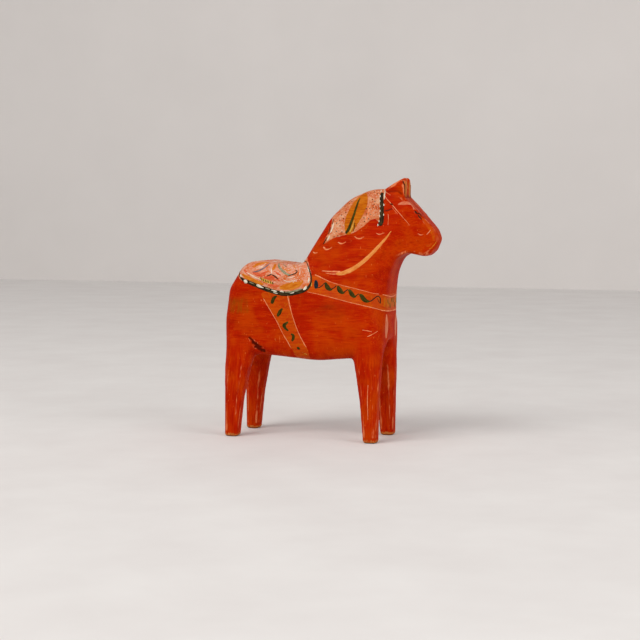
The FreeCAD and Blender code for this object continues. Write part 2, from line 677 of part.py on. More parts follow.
def paint_horse(doc, horse, notch):
    """Every ornament: a coat of paint that lies on the wood, or on the coat below it."""
    trunk_one = make_trunk(doc, 1)
    trunk_two = make_trunk(doc, 2)
    under = add_boolean(doc, "Part::MultiFuse", "horse_and_first_coat", [trunk_one, horse])
    rooms = {
        1: add_boolean(doc, "Part::Cut", "first_coat_room", [trunk_one, horse]),
        2: add_boolean(doc, "Part::Cut", "second_coat_room", [trunk_two, under]),
    }
    ornaments = []
    for name, coat, anchor, outlines in ORNAMENTS:
        stencil = make_stencil(doc, f"{name}_stencil", anchor, outlines)
        ornaments.append(add_boolean(doc, "Part::Common", name, [rooms[coat], stencil]))
    ornaments.append(make_ear_paint(doc, horse, notch))
    return ornaments


def check(doc, pieces):
    """Stop if any object failed or any piece is empty or not valid."""
    for item in doc.Objects:
        if "Invalid" in item.State or "Error" in item.State:
            raise RuntimeError(f"{item.Label} failed: {item.State}")
    for piece in pieces:
        if piece.Shape.isNull() or not piece.Shape.Solids or not piece.Shape.isValid():
            raise RuntimeError(f"{piece.Label} is not a valid solid")


def main():
    doc = start_document()
    horse, notch = carve_horse(doc)
    pieces = [horse] + paint_horse(doc, horse, notch)
    doc.recompute()
    check(doc, pieces)
    os.makedirs("parts", exist_ok=True)
    for piece in pieces:
        piece.Shape.exportStep(f"parts/{piece.Label}.step")
        print(f"{piece.Label}: {len(piece.Shape.Solids)} solids, {piece.Shape.Volume:.1f} mm3")


if __name__ == "__main__":
    main()
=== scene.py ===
"""Looks of a carved and painted wooden horse.

The carved block is softened as a knife and sandpaper leave it, then every painted ornament is
laid on it as a raised brush mark, and so are a few patches of painted reflection and painted light.
Tables are in millimetres; the scene is in metres.
"""

import math

import bpy
import numpy as np
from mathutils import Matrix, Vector, noise
from mathutils.bvhtree import BVHTree


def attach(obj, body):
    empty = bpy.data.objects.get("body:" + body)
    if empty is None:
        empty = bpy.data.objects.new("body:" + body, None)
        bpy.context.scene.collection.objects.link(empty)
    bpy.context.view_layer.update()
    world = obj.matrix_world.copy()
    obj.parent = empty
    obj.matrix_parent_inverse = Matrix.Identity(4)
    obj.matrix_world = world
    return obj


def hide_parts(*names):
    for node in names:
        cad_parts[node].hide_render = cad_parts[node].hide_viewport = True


MM = 0.001
RIGHT = -1
LEFT = 1
SIDES = (RIGHT, LEFT)


# ---------------------------------------------------------------- selecting and small tools

def select_only(*objects):
    """Deselect all, then select these; the last one is active."""
    bpy.ops.object.select_all(action="DESELECT")
    for item in objects:
        item.select_set(True)
        bpy.context.view_layer.objects.active = item


def apply_modifier(piece, kind, **settings):
    """Give a piece a modifier with these settings, and apply it."""
    modifier = piece.modifiers.new(kind.lower(), kind)
    for name, value in settings.items():
        setattr(modifier, name, value)
    select_only(piece)
    bpy.ops.object.modifier_apply(modifier=modifier.name)


def read_rows(items, name, width=3, kind=float):
    """One property of every vertex, edge, face or corner, as rows of numbers."""
    values = np.zeros(len(items) * width, dtype=kind)
    items.foreach_get(name, values)
    return values.reshape(-1, width)


def corner_places(piece):
    """Every vertex of a piece, as rows of x, y, z in millimetres."""
    return read_rows(piece.data.vertices, "co") / MM


def move_corners(piece, places):
    """Put every vertex of a piece at its row of x, y, z in millimetres."""
    piece.data.vertices.foreach_set("co", (places * MM).ravel())
    piece.data.update()


def select_parts(piece, kind, chosen):
    """Select just these vertices or faces of a piece, and leave it in edit mode."""
    select_only(piece)
    bpy.ops.object.mode_set(mode="EDIT")
    bpy.ops.mesh.select_mode(type=kind)
    bpy.ops.mesh.select_all(action="DESELECT")
    bpy.ops.object.mode_set(mode="OBJECT")
    parts = piece.data.vertices if kind == "VERT" else piece.data.polygons
    parts.foreach_set("select", chosen)
    bpy.ops.object.mode_set(mode="EDIT")


def grain(x, y, z, size):
    """Smooth noise between about -1 and 1 whose lumps are this many millimetres across."""
    return noise.noise(Vector((x / size, y / size, z / size)))


def grains(places, size):
    """The grain at every one of many places."""
    return np.array([grain(*place, size) for place in places])


def share(value, low, high):
    """0 below low, 1 above high, and a smooth rise between them."""
    ratio = np.clip((value - low) / (high - low), 0.0, 1.0)
    return ratio * ratio * (3.0 - 2.0 * ratio)


def band(value, rise, fall):
    """1 between two smooth slopes: a rise over one pair of values, a fall over another."""
    return share(value, *rise) * (1 - share(value, *fall))


# ---------------------------------------------------------------- materials

def linear(hex_colour, alpha=1.0):
    """An sRGB colour such as "#C04010" as linear red, green, blue and alpha."""
    values = []
    for start in (1, 3, 5):
        channel = int(hex_colour[start:start + 2], 16) / 255
        if channel <= 0.04045:
            values.append(channel / 12.92)
        else:
            values.append(((channel + 0.055) / 1.055) ** 2.4)
    return (*values, alpha)


def add_node(tree, kind, links=None, stops=(), **settings):
    """A node with its settings; links give an input's name or number and what feeds it.

    A colour may be written as sRGB hex; stops are a ramp's pairs of place and such a colour.
    """
    node = tree.nodes.new(kind)
    for name, value in settings.items():
        setattr(node, name, value)
    for socket, source in (links or {}).items():
        if isinstance(source, bpy.types.NodeSocket):
            tree.links.new(source, node.inputs[socket])
        elif isinstance(source, str):
            node.inputs[socket].default_value = linear(source)
        else:
            node.inputs[socket].default_value = source
    if stops:
        elements = node.color_ramp.elements
        while len(elements) < len(stops):
            elements.new(0.5)
        for element, (place, colour) in zip(elements, stops):
            element.position = place
            element.color = linear(colour)
    return node


def paint_over(tree, below, above, most, source=None, low=0.0, high=1.0):
    """Colour above laid over colour below, by at most this share.

    With a source it covers nothing where source is at low, and the most where it is at high.
    """
    if source is not None:
        most = add_node(tree, "ShaderNodeMapRange", {
            "Value": source, "From Min": low, "From Max": high, "To Max": most,
        }, interpolation_type="SMOOTHSTEP").outputs["Result"]
    return add_node(tree, "ShaderNodeMix", {0: most, 6: below, 7: above}, data_type="RGBA").outputs[2]


def streaks(tree, places, stretch, size_mm, detail=4.0, turn=(0.0, 0.0, 0.0)):
    """Noise drawn out along chosen directions; stretch divides its fineness on x, y and z."""
    mapped = add_node(tree, "ShaderNodeMapping", {
        "Vector": places,
        "Rotation": turn,
        "Scale": tuple(1.0 / (size_mm * MM * part) for part in stretch),
    })
    return add_node(tree, "ShaderNodeTexNoise", {
        "Vector": mapped.outputs["Vector"], "Scale": 1.0, "Detail": detail, "Roughness": 0.6,
    }).outputs["Fac"]


def start_material(name):
    """An empty node material."""
    material = bpy.data.materials.new(name)
    material.use_nodes = True
    material.node_tree.nodes.clear()
    return material, material.node_tree


def add_shader(tree, links):
    """The surface shader with these inputs, joined to the material's output."""
    shader = add_node(tree, "ShaderNodeBsdfPrincipled", links)
    add_node(tree, "ShaderNodeOutputMaterial", {"Surface": shader.outputs["BSDF"]})


OIL_IOR = 1.47          # linseed oil, which binds the paint
OLD_GLOSS = 0.05        # specular level of an ornament's paint, dulled by age
HANDLED_GLOSS = 0.015   # specular level of the ground coat, duller still


def finish_paint(tree, colour, relief, depth_mm, sheen, smoothest, roughest, gloss=OLD_GLOSS):
    """Join colour and a bump to the shader; the sheen pattern drives roughness between two values."""
    roughness = add_node(tree, "ShaderNodeMapRange", {
        "Value": sheen, "From Min": 0.3, "From Max": 0.7, "To Min": smoothest, "To Max": roughest,
    }).outputs["Result"]
    bump = add_node(tree, "ShaderNodeBump", {"Height": relief, "Distance": depth_mm * MM, "Strength": 1.0})
    add_shader(tree, {
        "Base Color": colour, "Roughness": roughness, "Normal": bump.outputs["Normal"],
        "IOR": OIL_IOR, "Specular IOR Level": gloss,
    })


def brushed_oil_on_pine():
    """Orange-red oil paint brushed on carved pine.

    Brush hairs run along the body and down the legs.  The edges are rubbed pale, with painted highlight along
    them, the hollows and the knife cut carry painted shade, and the feet are rubbed down to the wood, so the
    eye reads a thin, old and nearly matt coat.
    """
    material, tree = start_material("brushed_orange_oil_paint_on_pine")
    places = add_node(tree, "ShaderNodeTexCoord").outputs["Object"]
    height = add_node(tree, "ShaderNodeSeparateXYZ", {"Vector": places}).outputs["Z"]
    marks = {}
    for name in ("edge", "hollow", "legs", "ochre_smear", "dark_blotch", "foot_wear", "knife_cut"):
        marks[name] = add_node(tree, "ShaderNodeAttribute", attribute_name=name).outputs["Fac"]

    # A brush hair leaves a line of a fifth of a millimetre or less; these are coarser, to show.
    along_body = streaks(tree, places, (14, 1, 1), 0.55)
    along_legs = streaks(tree, places, (1, 1, 16), 0.5)
    hairs = paint_over(tree, along_body, along_legs, marks["legs"])
    broad_body = streaks(tree, places, (4, 1.2, 1), 5.0, 3.0)
    broad_legs = streaks(tree, places, (1, 1, 5), 3.0, 3.0)
    broad = paint_over(tree, broad_body, broad_legs, marks["legs"])
    clouds = streaks(tree, places, (1, 1, 1), 16.0, 3.0)
    colour = add_node(tree, "ShaderNodeValToRGB", {"Fac": broad}, [
        (0.20, PAINT_DEEP), (0.5, PAINT_MAIN), (0.85, PAINT_LIGHT),
    ]).outputs["Color"]
    colour = paint_over(tree, colour, PAINT_ORANGE, 0.75, clouds, 0.42, 0.66)
    colour = paint_over(tree, colour, PAINT_LIGHT, 0.6, hairs, 0.50, 0.70)
    colour = paint_over(tree, colour, PAINT_DEEP, 0.6, hairs, 0.48, 0.30)

    smear = streaks(tree, places, (1, 1, 6), 1.6, 2.0)
    colour = paint_over(tree, colour, OCHRE_SMEAR, marks["ochre_smear"], smear, 0.25, 0.75)
    colour = paint_over(tree, colour, PAINT_BLOTCH, marks["dark_blotch"], broad_body, 0.35, 0.65)
    # Painted shade: darker in the carved hollows and inner corners.
    colour = paint_over(tree, colour, PAINTED_HOLLOW_SHADE, marks["hollow"])

    # Proud edges rubbed pale, with painted highlight along them.
    worn = add_node(tree, "ShaderNodeMapRange", {
        "Value": marks["edge"], "From Min": 0.50, "From Max": 0.95, "To Max": 0.8,
    }, interpolation_type="SMOOTHSTEP").outputs["Result"]
    rub = streaks(tree, places, (1, 1, 6), 2.4, 4.0)
    colour = paint_over(tree, colour, WORN_PALE_AND_HIGHLIGHT, worn, rub, 0.44, 0.60)
    flecks = streaks(tree, places, (1, 1, 3), 0.9, 2.0)
    colour = paint_over(tree, colour, FLECK, 0.7, flecks, 0.69, 0.74)

    foot_rub = streaks(tree, places, (1, 1, 2.2), 1.1, 4.0)
    bare = add_node(tree, "ShaderNodeMath", {
        0: foot_rub, 1: 1.3, 2: marks["foot_wear"]}, operation="MULTIPLY_ADD").outputs[0]
    # The fibres of pine are far finer than this; they are drawn coarser, so that they show.
    fibres = streaks(tree, places, (1, 1, 18), 0.4, 2.0)
    pine = add_node(tree, "ShaderNodeValToRGB", {"Fac": fibres}, [
        (0.3, PINE_DARK), (0.7, PINE_LIGHT)]).outputs["Color"]
    colour = paint_over(tree, colour, pine, 1.0, bare, 1.34, 1.55)
    colour = paint_over(tree, colour, SOLE_DARK, 0.8, height, 0.7 * MM, 0.3 * MM)
    # Painted shade: dark inside the knife cut between haunch and belly.
    colour = paint_over(tree, colour, PAINTED_CUT_SHADE, marks["knife_cut"])
    relief = add_node(tree, "ShaderNodeMath", {0: broad, 1: 1.4, 2: hairs}, operation="MULTIPLY_ADD")
    finish_paint(tree, colour, relief.outputs[0], 0.10, hairs, 0.34, 0.50, HANDLED_GLOSS)
    return material


def brushed_colour(name, dark, main, light, hair_mm, stretch=7, speck=None):
    """One oil colour laid on with a brush: lighter ridges and darker hollows along the stroke."""
    material, tree = start_material(name)
    places = add_node(tree, "ShaderNodeUVMap", uv_map="brush").outputs["UV"]
    hairs = streaks(tree, places, (stretch, 1, 1), hair_mm, 3.0)
    patches = streaks(tree, places, (2, 1, 1), hair_mm * 5, 2.0)
    colour = add_node(tree, "ShaderNodeValToRGB", {"Fac": hairs}, [
        (0.32, dark), (0.5, main), (0.70, light)]).outputs["Color"]
    colour = paint_over(tree, colour, light, 0.5, patches, 0.5, 0.7)
    if speck is not None:
        spots = streaks(tree, places, (1, 1, 1), hair_mm * 1.6, 2.0)
        colour = paint_over(tree, colour, speck, 0.8, spots, 0.56, 0.66)
    finish_paint(tree, colour, hairs, 0.05, patches, 0.36, 0.50)
    return material


STIPPLE_MM = 0.6        # between the dots that a brush tip leaves


def mottled_field(name, stops, dab_mm, veil, worn):
    """Several oil colours dabbed wet into one another over a whole field, and rubbed since."""
    material, tree = start_material(name)
    places = add_node(tree, "ShaderNodeTexCoord").outputs["Object"]
    dabs = streaks(tree, places, (1.6, 1, 1), dab_mm, 4.0, turn=(0.0, 0.5, 0.0))
    colour = add_node(tree, "ShaderNodeValToRGB", {"Fac": dabs}, stops).outputs["Color"]
    dots = add_node(tree, "ShaderNodeTexVoronoi", {
        "Vector": places, "Scale": 1.0 / (STIPPLE_MM * MM), "Randomness": 1.0,
    }).outputs["Distance"]
    stipple = add_node(tree, "ShaderNodeMapRange", {
        "Value": dots, "From Min": 0.42, "From Max": 0.20, "To Max": 0.55,
    }, interpolation_type="SMOOTHSTEP").outputs["Result"]
    cover = streaks(tree, places, (1, 1, 1), 6.0, 2.0)
    colour = paint_over(tree, colour, veil, stipple, cover, 0.38, 0.58)
    rub = streaks(tree, places, (2.5, 1, 1), 1.3, 5.0)
    colour = paint_over(tree, colour, worn, 0.7, rub, 0.60, 0.72)
    fine = streaks(tree, places, (1.5, 1, 1), 0.5, 3.0)
    relief = add_node(tree, "ShaderNodeMath", {0: dabs, 1: fine}, operation="ADD").outputs[0]
    finish_paint(tree, colour, relief, 0.07, dabs, 0.37, 0.53)
    return material


# Colours of the ground coat and the wood under it, with the painted shade of its hollows and knife cut and
# the painted highlight of its edges.
PAINT_DEEP = "#921200"
PAINT_MAIN = "#AC1C00"
PAINT_LIGHT = "#C23E02"
PAINT_ORANGE = "#B83A00"
PAINTED_HOLLOW_SHADE = "#5C0E00"
PAINT_BLOTCH = "#7E1C04"
OCHRE_SMEAR = "#8A4A04"
WORN_PALE_AND_HIGHLIGHT = "#E08050"
FLECK = "#D8682E"
PINE_DARK = "#9C4A18"
PINE_LIGHT = "#C87A3C"
SOLE_DARK = "#4A1C0A"
PAINTED_CUT_SHADE = "#340C04"


# Brushed oil colours: short name, finish, then dark, main and light colour, millimetres
# between the hairs' lines, how far the lines are drawn out, and the colour of specks.
OILS = (
    # Ochre gone brown in the hollows: a warm, dull yellow.
    ("leaf", "yellow_ochre_oil_paint", "#A44800", "#B85C00", "#C87206", 0.8),
    # So thin that the red shines through: a stain more than a colour.
    ("strap", "thin_ochre_glaze", "#AC2E00", "#B63C00", "#C24C00", 1.2, 7, "#B85200"),
    # Dragged on nearly dry: pale ridges, with the red between them.
    ("cream", "worn_cream_oil_paint", "#C85420", "#DE8050", "#E8A880", 0.35),
    # One long loaded stroke: its hairs' lines run from end to end.
    ("neck_cream", "warm_cream_oil_paint", "#BA5C14", "#D8843C", "#E29C58", 0.3, 16),
    # Thick and opaque: the brightest marks, a little yellowed.
    ("white", "thick_white_oil_paint", "#A49A80", "#DCD2BC", "#F0EADC", 0.4),
    # White with a touch of red: chalky pale pink.
    ("blush", "pale_blush_oil_paint", "#C89478", "#DCBCA6", "#EAD8CA", 0.4),
    # Brown in the light and black in the hollows.
    ("black", "black_brown_oil_paint", "#120E08", "#261C10", "#4E4022", 0.4),
    # Green so deep that only its ridges show the colour.
    ("green", "dark_olive_oil_paint", "#201C04", "#363008", "#564A12", 0.45),
    # Greyed green, half mixed with white.
    ("grey", "grey_green_oil_paint", "#5E5C44", "#807C60", "#A49E80", 0.45),
    # Muted violet, cool beside the pink.
    ("purple", "grey_violet_oil_paint", "#4C3C40", "#705C62", "#9C868A", 0.4),
    # Nearly black, and blue only on the ridges.
    ("navy", "blue_black_oil_paint", "#0A1218", "#162028", "#2A3A44", 0.4),
    # The lightest yellow, laid on thinly.
    ("yellow", "lemon_ochre_oil_paint", "#A87C1C", "#C8983C", "#DCB45C", 0.4),
    # Soft orange that melts into the pink round it.
    ("orange", "bright_orange_oil_paint", "#B45206", "#C66C14", "#D8882E", 0.7),
    # Dark brown, drawn with the tip of the brush.
    ("brown", "brown_oil_paint", "#2C0E04", "#4A1A08", "#6E2E0E", 0.4),
    # Clear warm red, softened by white.
    ("rose", "rose_red_oil_paint", "#B83810", "#CC542E", "#D87250", 0.5),
    # Ochre rubbed through to the red.
    ("ear", "worn_ochre_oil_paint", "#A44C08", "#BC640E", "#CE8228", 0.5),
    # Painted reflection of the pale room on facets that face it: a flat, dusty pink.
    ("reflection_pink", "painted_pale_reflection_pink", "#BE5230", "#CA6C4A", "#D68A6A", 0.6),
)


def make_materials():
    """Every finish of the horse by a short name."""
    paints = {short: brushed_colour(*row) for short, *row in OILS}
    paints["ground"] = brushed_oil_on_pine()
    # Cream, pink and orange worked wet together: a soft cloudy ground for the marks on it.
    paints["saddle"] = mottled_field(
        "dabbed_cream_and_pink_oil_paint",
        [(0.32, "#C05418"), (0.44, "#CC6E42"), (0.56, "#D28668"), (0.72, "#D8A890")],
        2.8, "#E0D0C4", "#C4601C")
    # The same in salmon, with less white, so it looks warmer and more rubbed.
    paints["mane"] = mottled_field(
        "dabbed_salmon_pink_oil_paint",
        [(0.32, "#B04818"), (0.44, "#C26438"), (0.56, "#CC8058"), (0.72, "#D49C76")],
        2.6, "#DEBAA4", "#B85014")
    return paints


# ---------------------------------------------------------------- the carved block

PULL = 0.6            # how far one round of softening moves a vertex towards the mean
SWELL = 0.63          # how far it then moves back, where the size is to be kept
VOXEL = 0.66          # millimetres between the points of the softened skin
WELD = 0.005          # millimetres within which two corners are one
# Rounds of softening: all over, where the legs join the belly, at the shoulder, at the nose.
SKIN_ROUNDS = 6
BELLY_ROUNDS = 60
SHOULDER_ROUNDS = 90
NOSE_ROUNDS = 14
BELLY_HEIGHTS = (40.0, 52.0), (74.0, 86.0)       # where the legs run into the belly
SHOULDER_HEIGHTS = (66.0, 72.0), (96.0, 110.0)   # where the neck runs into the body
SHOULDER_START = -22.0, -12.0                    # how far forward the shoulder begins
NOSE_START = 58.5, 62.0                          # and the nose
FLANK = 10.0, 14.0                               # distance from the middle where the flank begins
LEG_TOP = 46.0, 60.0
SMEAR_LENGTH = (-60.5, -57.0), (-49.0, -44.0)    # the ochre smear on the rump
SMEAR_HEIGHTS = (71.0, 74.0), (79.0, 83.0)
BLOTCH = 4.0, 76.5                               # middle of the dark blotch on the flank
BLOTCH_SPREAD = 9.0, 4.0
PROUD = 0.12          # how far an edge stands above its softened skin to be fully worn pale and carry the full painted highlight
SUNKEN = 0.10         # how far a hollow lies below it to take the full painted shade


def neighbour_mean(places, ends):
    """For every vertex, the mean place of the vertices it is joined to."""
    total = np.zeros_like(places)
    count = np.zeros(len(places))
    for first, second in ((0, 1), (1, 0)):
        for axis in range(places.shape[1]):
            total[:, axis] += np.bincount(ends[:, first], places[ends[:, second], axis], len(places))
        count += np.bincount(ends[:, first], minlength=len(places))
    return total / count[:, None]


def soften(places, ends, weight, rounds, swell=0.0):
    """Move vertices towards their neighbours' mean, as far as weight lets each one.

    With swell, each round then moves them back a little further, so that the shape keeps
    its size and loses only its roughness.
    """
    for _ in range(rounds):
        places = places + (neighbour_mean(places, ends) - places) * weight[:, None] * PULL
        if swell:
            places = places - (neighbour_mean(places, ends) - places) * weight[:, None] * swell
    return places


def write_attribute(piece, name, values):
    attribute = piece.data.attributes.new(name, "FLOAT", "POINT")
    attribute.data.foreach_set("value", values.astype(np.float32))


def distance_to_line(places, start, end):
    """Side-view distance of each place from the line between two x, z points."""
    start = np.array(start)
    along = np.array(end) - start
    flat = places[:, [0, 2]] - start
    part = np.clip(flat @ along / (along @ along), 0.0, 1.0)
    return np.linalg.norm(flat - part[:, None] * along, axis=1)


# Side-view lines of the knife cut between haunch and belly, with their half widths.
KNIFE_CUTS = (
    ((-45.4, 58.6), (-43.0, 55.6), 0.8),
    ((-43.4, 56.0), (-41.0, 53.4), 1.5),
    ((-41.6, 54.6), (-39.2, 51.4), 2.1),
    ((-42.4, 53.0), (-40.4, 51.8), 0.8),
    ((-39.8, 52.0), (-37.4, 50.8), 1.7),
    ((-40.0, 53.6), (-38.2, 53.0), 0.7),
)
CUT_DEPTH = 0.5


def make_block():
    """The carved horse with softened knife edges and filled inner corners."""
    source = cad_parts["carved_horse"]
    block = bpy.data.objects.new("painted_pine_block", source.data.copy())
    bpy.context.scene.collection.objects.link(block)
    select_only(block)
    bpy.ops.object.mode_set(mode="EDIT")
    bpy.ops.mesh.select_all(action="SELECT")
    bpy.ops.mesh.remove_doubles(threshold=WELD * MM)
    bpy.ops.mesh.normals_make_consistent(inside=False)
    bpy.ops.object.mode_set(mode="OBJECT")
    apply_modifier(block, "REMESH", mode="VOXEL", voxel_size=VOXEL * MM, use_smooth_shade=True)

    places = corner_places(block)
    ends = read_rows(block.data.edges, "vertices", 2, np.int64)
    everywhere = np.ones(len(places))
    places = soften(places, ends, everywhere, SKIN_ROUNDS, SWELL)
    joints = band(places[:, 2], *BELLY_HEIGHTS)
    places = soften(places, ends, joints, BELLY_ROUNDS)
    shoulder = share(places[:, 0], *SHOULDER_START) * band(places[:, 2], *SHOULDER_HEIGHTS)
    places = soften(places, ends, shoulder, SHOULDER_ROUNDS)
    places = soften(places, ends, share(places[:, 0], *NOSE_START), NOSE_ROUNDS)
    places = carve_unevenly(places)
    cut = np.zeros(len(places))
    uneven = np.maximum(0.5, 0.8 + 0.6 * grains(places, 1.6))
    for start, end, half in KNIFE_CUTS:
        near = 1 - share(distance_to_line(places, start, end), half * 0.3, half * uneven)
        cut = np.maximum(cut, near * share(np.abs(places[:, 1]), *FLANK))
    places[:, 1] -= np.sign(places[:, 1]) * cut * CUT_DEPTH
    places[:, 2] = np.maximum(places[:, 2], 0.0)
    move_corners(block, places)

    smooth = soften(places, ends, everywhere, 5)
    proud = ((places - smooth) * read_rows(block.data.vertices, "normal")).sum(axis=1)
    x, z = places[:, 0], places[:, 2]
    # Proud edges: worn pale, with painted highlight.
    write_attribute(block, "edge", np.clip(proud / PROUD, 0.0, 1.0) * share(z, 1.5, 4.0))
    # Painted shade in the sunken places, where the skin lies below its softened self.
    write_attribute(block, "hollow", np.clip(-proud / SUNKEN, 0.0, 1.0) * 0.7)
    write_attribute(block, "legs", 1 - share(z, *LEG_TOP))
    smear = band(x, *SMEAR_LENGTH) * band(z, *SMEAR_HEIGHTS)
    write_attribute(block, "ochre_smear", smear * 0.75)
    write_attribute(block, "foot_wear", 1 - share(z, 0.5, 5.0))
    blotch = np.exp(-((x - BLOTCH[0]) / BLOTCH_SPREAD[0]) ** 2 - ((z - BLOTCH[1]) / BLOTCH_SPREAD[1]) ** 2)
    write_attribute(block, "dark_blotch", blotch * share(-places[:, 1], *FLANK) * 0.95)
    # Painted shade inside the knife cut.
    write_attribute(block, "knife_cut", cut * 0.8)

    hand_over(block, "ground", ["carved_horse"])
    return block


def hand_over(piece, paint, nodes=()):
    """Shade a piece smooth, give it its finish and its body, and hide the nodes it replaces."""
    select_only(piece)
    bpy.ops.object.shade_smooth()
    piece.data.materials.clear()
    piece.data.materials.append(PAINTS[paint])
    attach(piece, "root")
    if nodes:
        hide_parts(*nodes)


def carve_unevenly(places):
    """The slight waves that a knife leaves, a few hundredths to a tenth of a millimetre deep."""
    waves = 0.10 * grains(places, 11.0) + 0.04 * grains(places, 4.0)
    inward = places.copy()
    inward[:, 0] = 0.0
    inward[:, 2] -= 70.0
    length = np.linalg.norm(inward, axis=1)
    keep = share(places[:, 2], 3.0, 10.0)
    return places - inward / length[:, None] * (np.abs(waves) * keep)[:, None]


# ---------------------------------------------------------------- brush strokes

STEP = 0.22           # millimetres between the points of a stroke
WET_EDGE = 0.05       # how far a stroke's edge dips under the coat below it
SKIN = 0.10           # thickness of the film below its top
COAT = 0.12           # thickness of a field of paint, on which later strokes lie
GLAZE = 0.05          # thickness of a coat so thin that the red shows through
NARROWEST = 0.12      # least width of a stroke
LANE = 0.16           # millimetres between the lines of points along a stroke
FEWEST_LANES = 5
MOST_LANES = 17
WOBBLE = 0.10         # unevenness of a stroke's width, as a share of it
HAIR_RELIEF = 0.25    # height of the hairs' ridges, as a share of the stroke's


def smooth_line(knots):
    """A smooth curve through rows of numbers, with points about one step apart."""
    knots = np.array(knots, float)
    if len(knots) == 2:
        knots = np.array([knots[0], knots.mean(axis=0), knots[1]])
    padded = np.vstack([2 * knots[0] - knots[1], knots, 2 * knots[-1] - knots[-2]])
    line = []
    for index in range(1, len(padded) - 2):
        before, start, end, after = padded[index - 1:index + 3]
        length = np.linalg.norm((end - start)[:3])
        for part in np.arange(0.0, 1.0, 1.0 / max(2, int(length / STEP))):
            line.append(0.5 * (
                2 * start + (end - before) * part
                + (2 * before - 5 * start + 4 * end - after) * part ** 2
                + (3 * start - before - 3 * end + after) * part ** 3))
    line.append(knots[-1])
    return np.array(line)


def touch(place, towards):
    """Where a ray from far outside meets the wood, in millimetres, or the nearest wood."""
    start = (Vector(place) - Vector(towards) * 60.0) * MM
    found = WOOD.ray_cast(start, Vector(towards))[0]
    if found is None:
        found = WOOD.find_nearest(Vector(place) * MM)[0]
    return Vector(found) / MM


def on_flank(x, z, side):
    return touch((x, side * 10.0, z), (0.0, -side, 0.0))


def on_chest(y, z):
    return touch((30.0, y, z), (-1.0, 0.0, 0.0))


def settle(place):
    """The nearest point of the wood to a place, and the wood's outward direction there."""
    found, normal, _, _ = WOOD.find_nearest(Vector(place) * MM)
    return np.array(found) / MM, np.array(normal)


def stroke(line, height, coat=1, dry=0.0, seed=0.0):
    """One brush stroke as a grid laid on the wood; line holds rows of x, y, z, width.

    height is how far it stands above its coat; dry is how much of it the brush left out.
    """
    line = smooth_line(line)
    line[:, 3] = np.maximum(line[:, 3], NARROWEST)
    count = len(line)
    lanes = int(np.clip(line[:, 3].max() / LANE, FEWEST_LANES, MOST_LANES))
    bpy.ops.mesh.primitive_grid_add(x_subdivisions=lanes - 1, y_subdivisions=count - 1, size=1.0)
    piece = bpy.context.object
    settled = [settle(row[:3]) for row in line]
    centres = np.array([place for place, _ in settled])
    normals = np.array([normal for _, normal in settled])
    for _ in range(3):
        normals[1:-1] = (normals[:-2] + 2 * normals[1:-1] + normals[2:]) / 4
    tangents = np.gradient(centres, axis=0)
    run = np.concatenate([[0.0], np.cumsum(np.linalg.norm(np.diff(centres, axis=0), axis=1))])
    places = np.zeros((count, lanes, 3))
    uv = np.zeros((count, lanes, 2))
    lift = (coat - 1) * COAT
    for index in range(count):
        across = np.cross(tangents[index], normals[index])
        across = across / max(np.linalg.norm(across), 1e-9)
        width = line[index, 3]
        from_end = min(run[index], run[-1] - run[index])
        blunt = math.sqrt(min(1.0, from_end / max(0.35 * width, NARROWEST)) + 0.02)
        for lane in range(lanes):
            part = 2.0 * lane / (lanes - 1) - 1.0
            wobble = 1.0 + WOBBLE * grain(run[index], seed, np.sign(part) * 3.0, 1.3)
            spot = centres[index] + across * (part * 0.5 * width * wobble * min(1.0, blunt))
            spot, normal = settle(spot)
            dome = 1.0 - abs(part) ** 3
            hair = HAIR_RELIEF * grain(run[index] / 5.0, part * width + seed, 0.0, 0.28)
            gap = dry * (0.55 + 0.9 * grain(run[index] / 2.0, part * width, seed, 0.9))
            rise = height * (dome * min(1.0, blunt) + hair * dome - gap)
            if abs(part) > 0.999 or index in (0, count - 1):
                rise = -WET_EDGE
            places[index, lane] = spot + normal * (lift + rise)
            uv[index, lane] = (run[index] + seed * 7.0, part * 0.5 * width + seed)
    move_corners(piece, places.reshape(-1, 3))
    write_brush_map(piece, uv.reshape(-1, 2))
    return piece


def write_brush_map(piece, uv):
    """The map that a brushed colour follows: metres along and across the stroke."""
    for layer in list(piece.data.uv_layers):
        piece.data.uv_layers.remove(layer)
    layer = piece.data.uv_layers.new(name="brush")
    corners = read_rows(piece.data.loops, "vertex_index", 1, np.int64)[:, 0]
    layer.data.foreach_set("uv", (uv[corners] * MM).ravel())


def finish_film(name, pieces, paint, nodes=()):
    """Join strokes of one colour into a named piece, give it thickness and its finish."""
    select_only(*pieces)
    if len(pieces) > 1:
        bpy.ops.object.join()
    film = bpy.context.view_layer.objects.active
    film.name = name
    face_outwards(film)
    apply_modifier(film, "SOLIDIFY", thickness=SKIN * MM, offset=-1.0)
    hand_over(film, paint, nodes)


def face_outwards(film):
    """Turn every face of a film that looks into the wood."""
    centres = read_rows(film.data.polygons, "center")
    normals = read_rows(film.data.polygons, "normal")
    wrong = np.array([
        WOOD.find_nearest(Vector(centre))[1].dot(Vector(normal)) < 0
        for centre, normal in zip(centres, normals)
    ])
    select_parts(film, "FACE", wrong)
    bpy.ops.mesh.flip_normals()
    bpy.ops.object.mode_set(mode="OBJECT")


def flank_line(points, side):
    """Rows of x, z, width in the side view as rows of x, y, z, width on one side."""
    return [(*on_flank(x, z, side), width) for x, z, width in points]


def both_sides(name, strokes, paint, nodes=(), height=0.16, coat=1, dry=0.0):
    """Strokes given in the side view, painted on both sides in one colour."""
    pieces = []
    for side in SIDES:
        for number, points in enumerate(strokes):
            pieces.append(stroke(flank_line(points, side), height, coat, dry, number * 1.7 + side))
    finish_film(name, pieces, paint, nodes)


# ---------------------------------------------------------------- painted fields

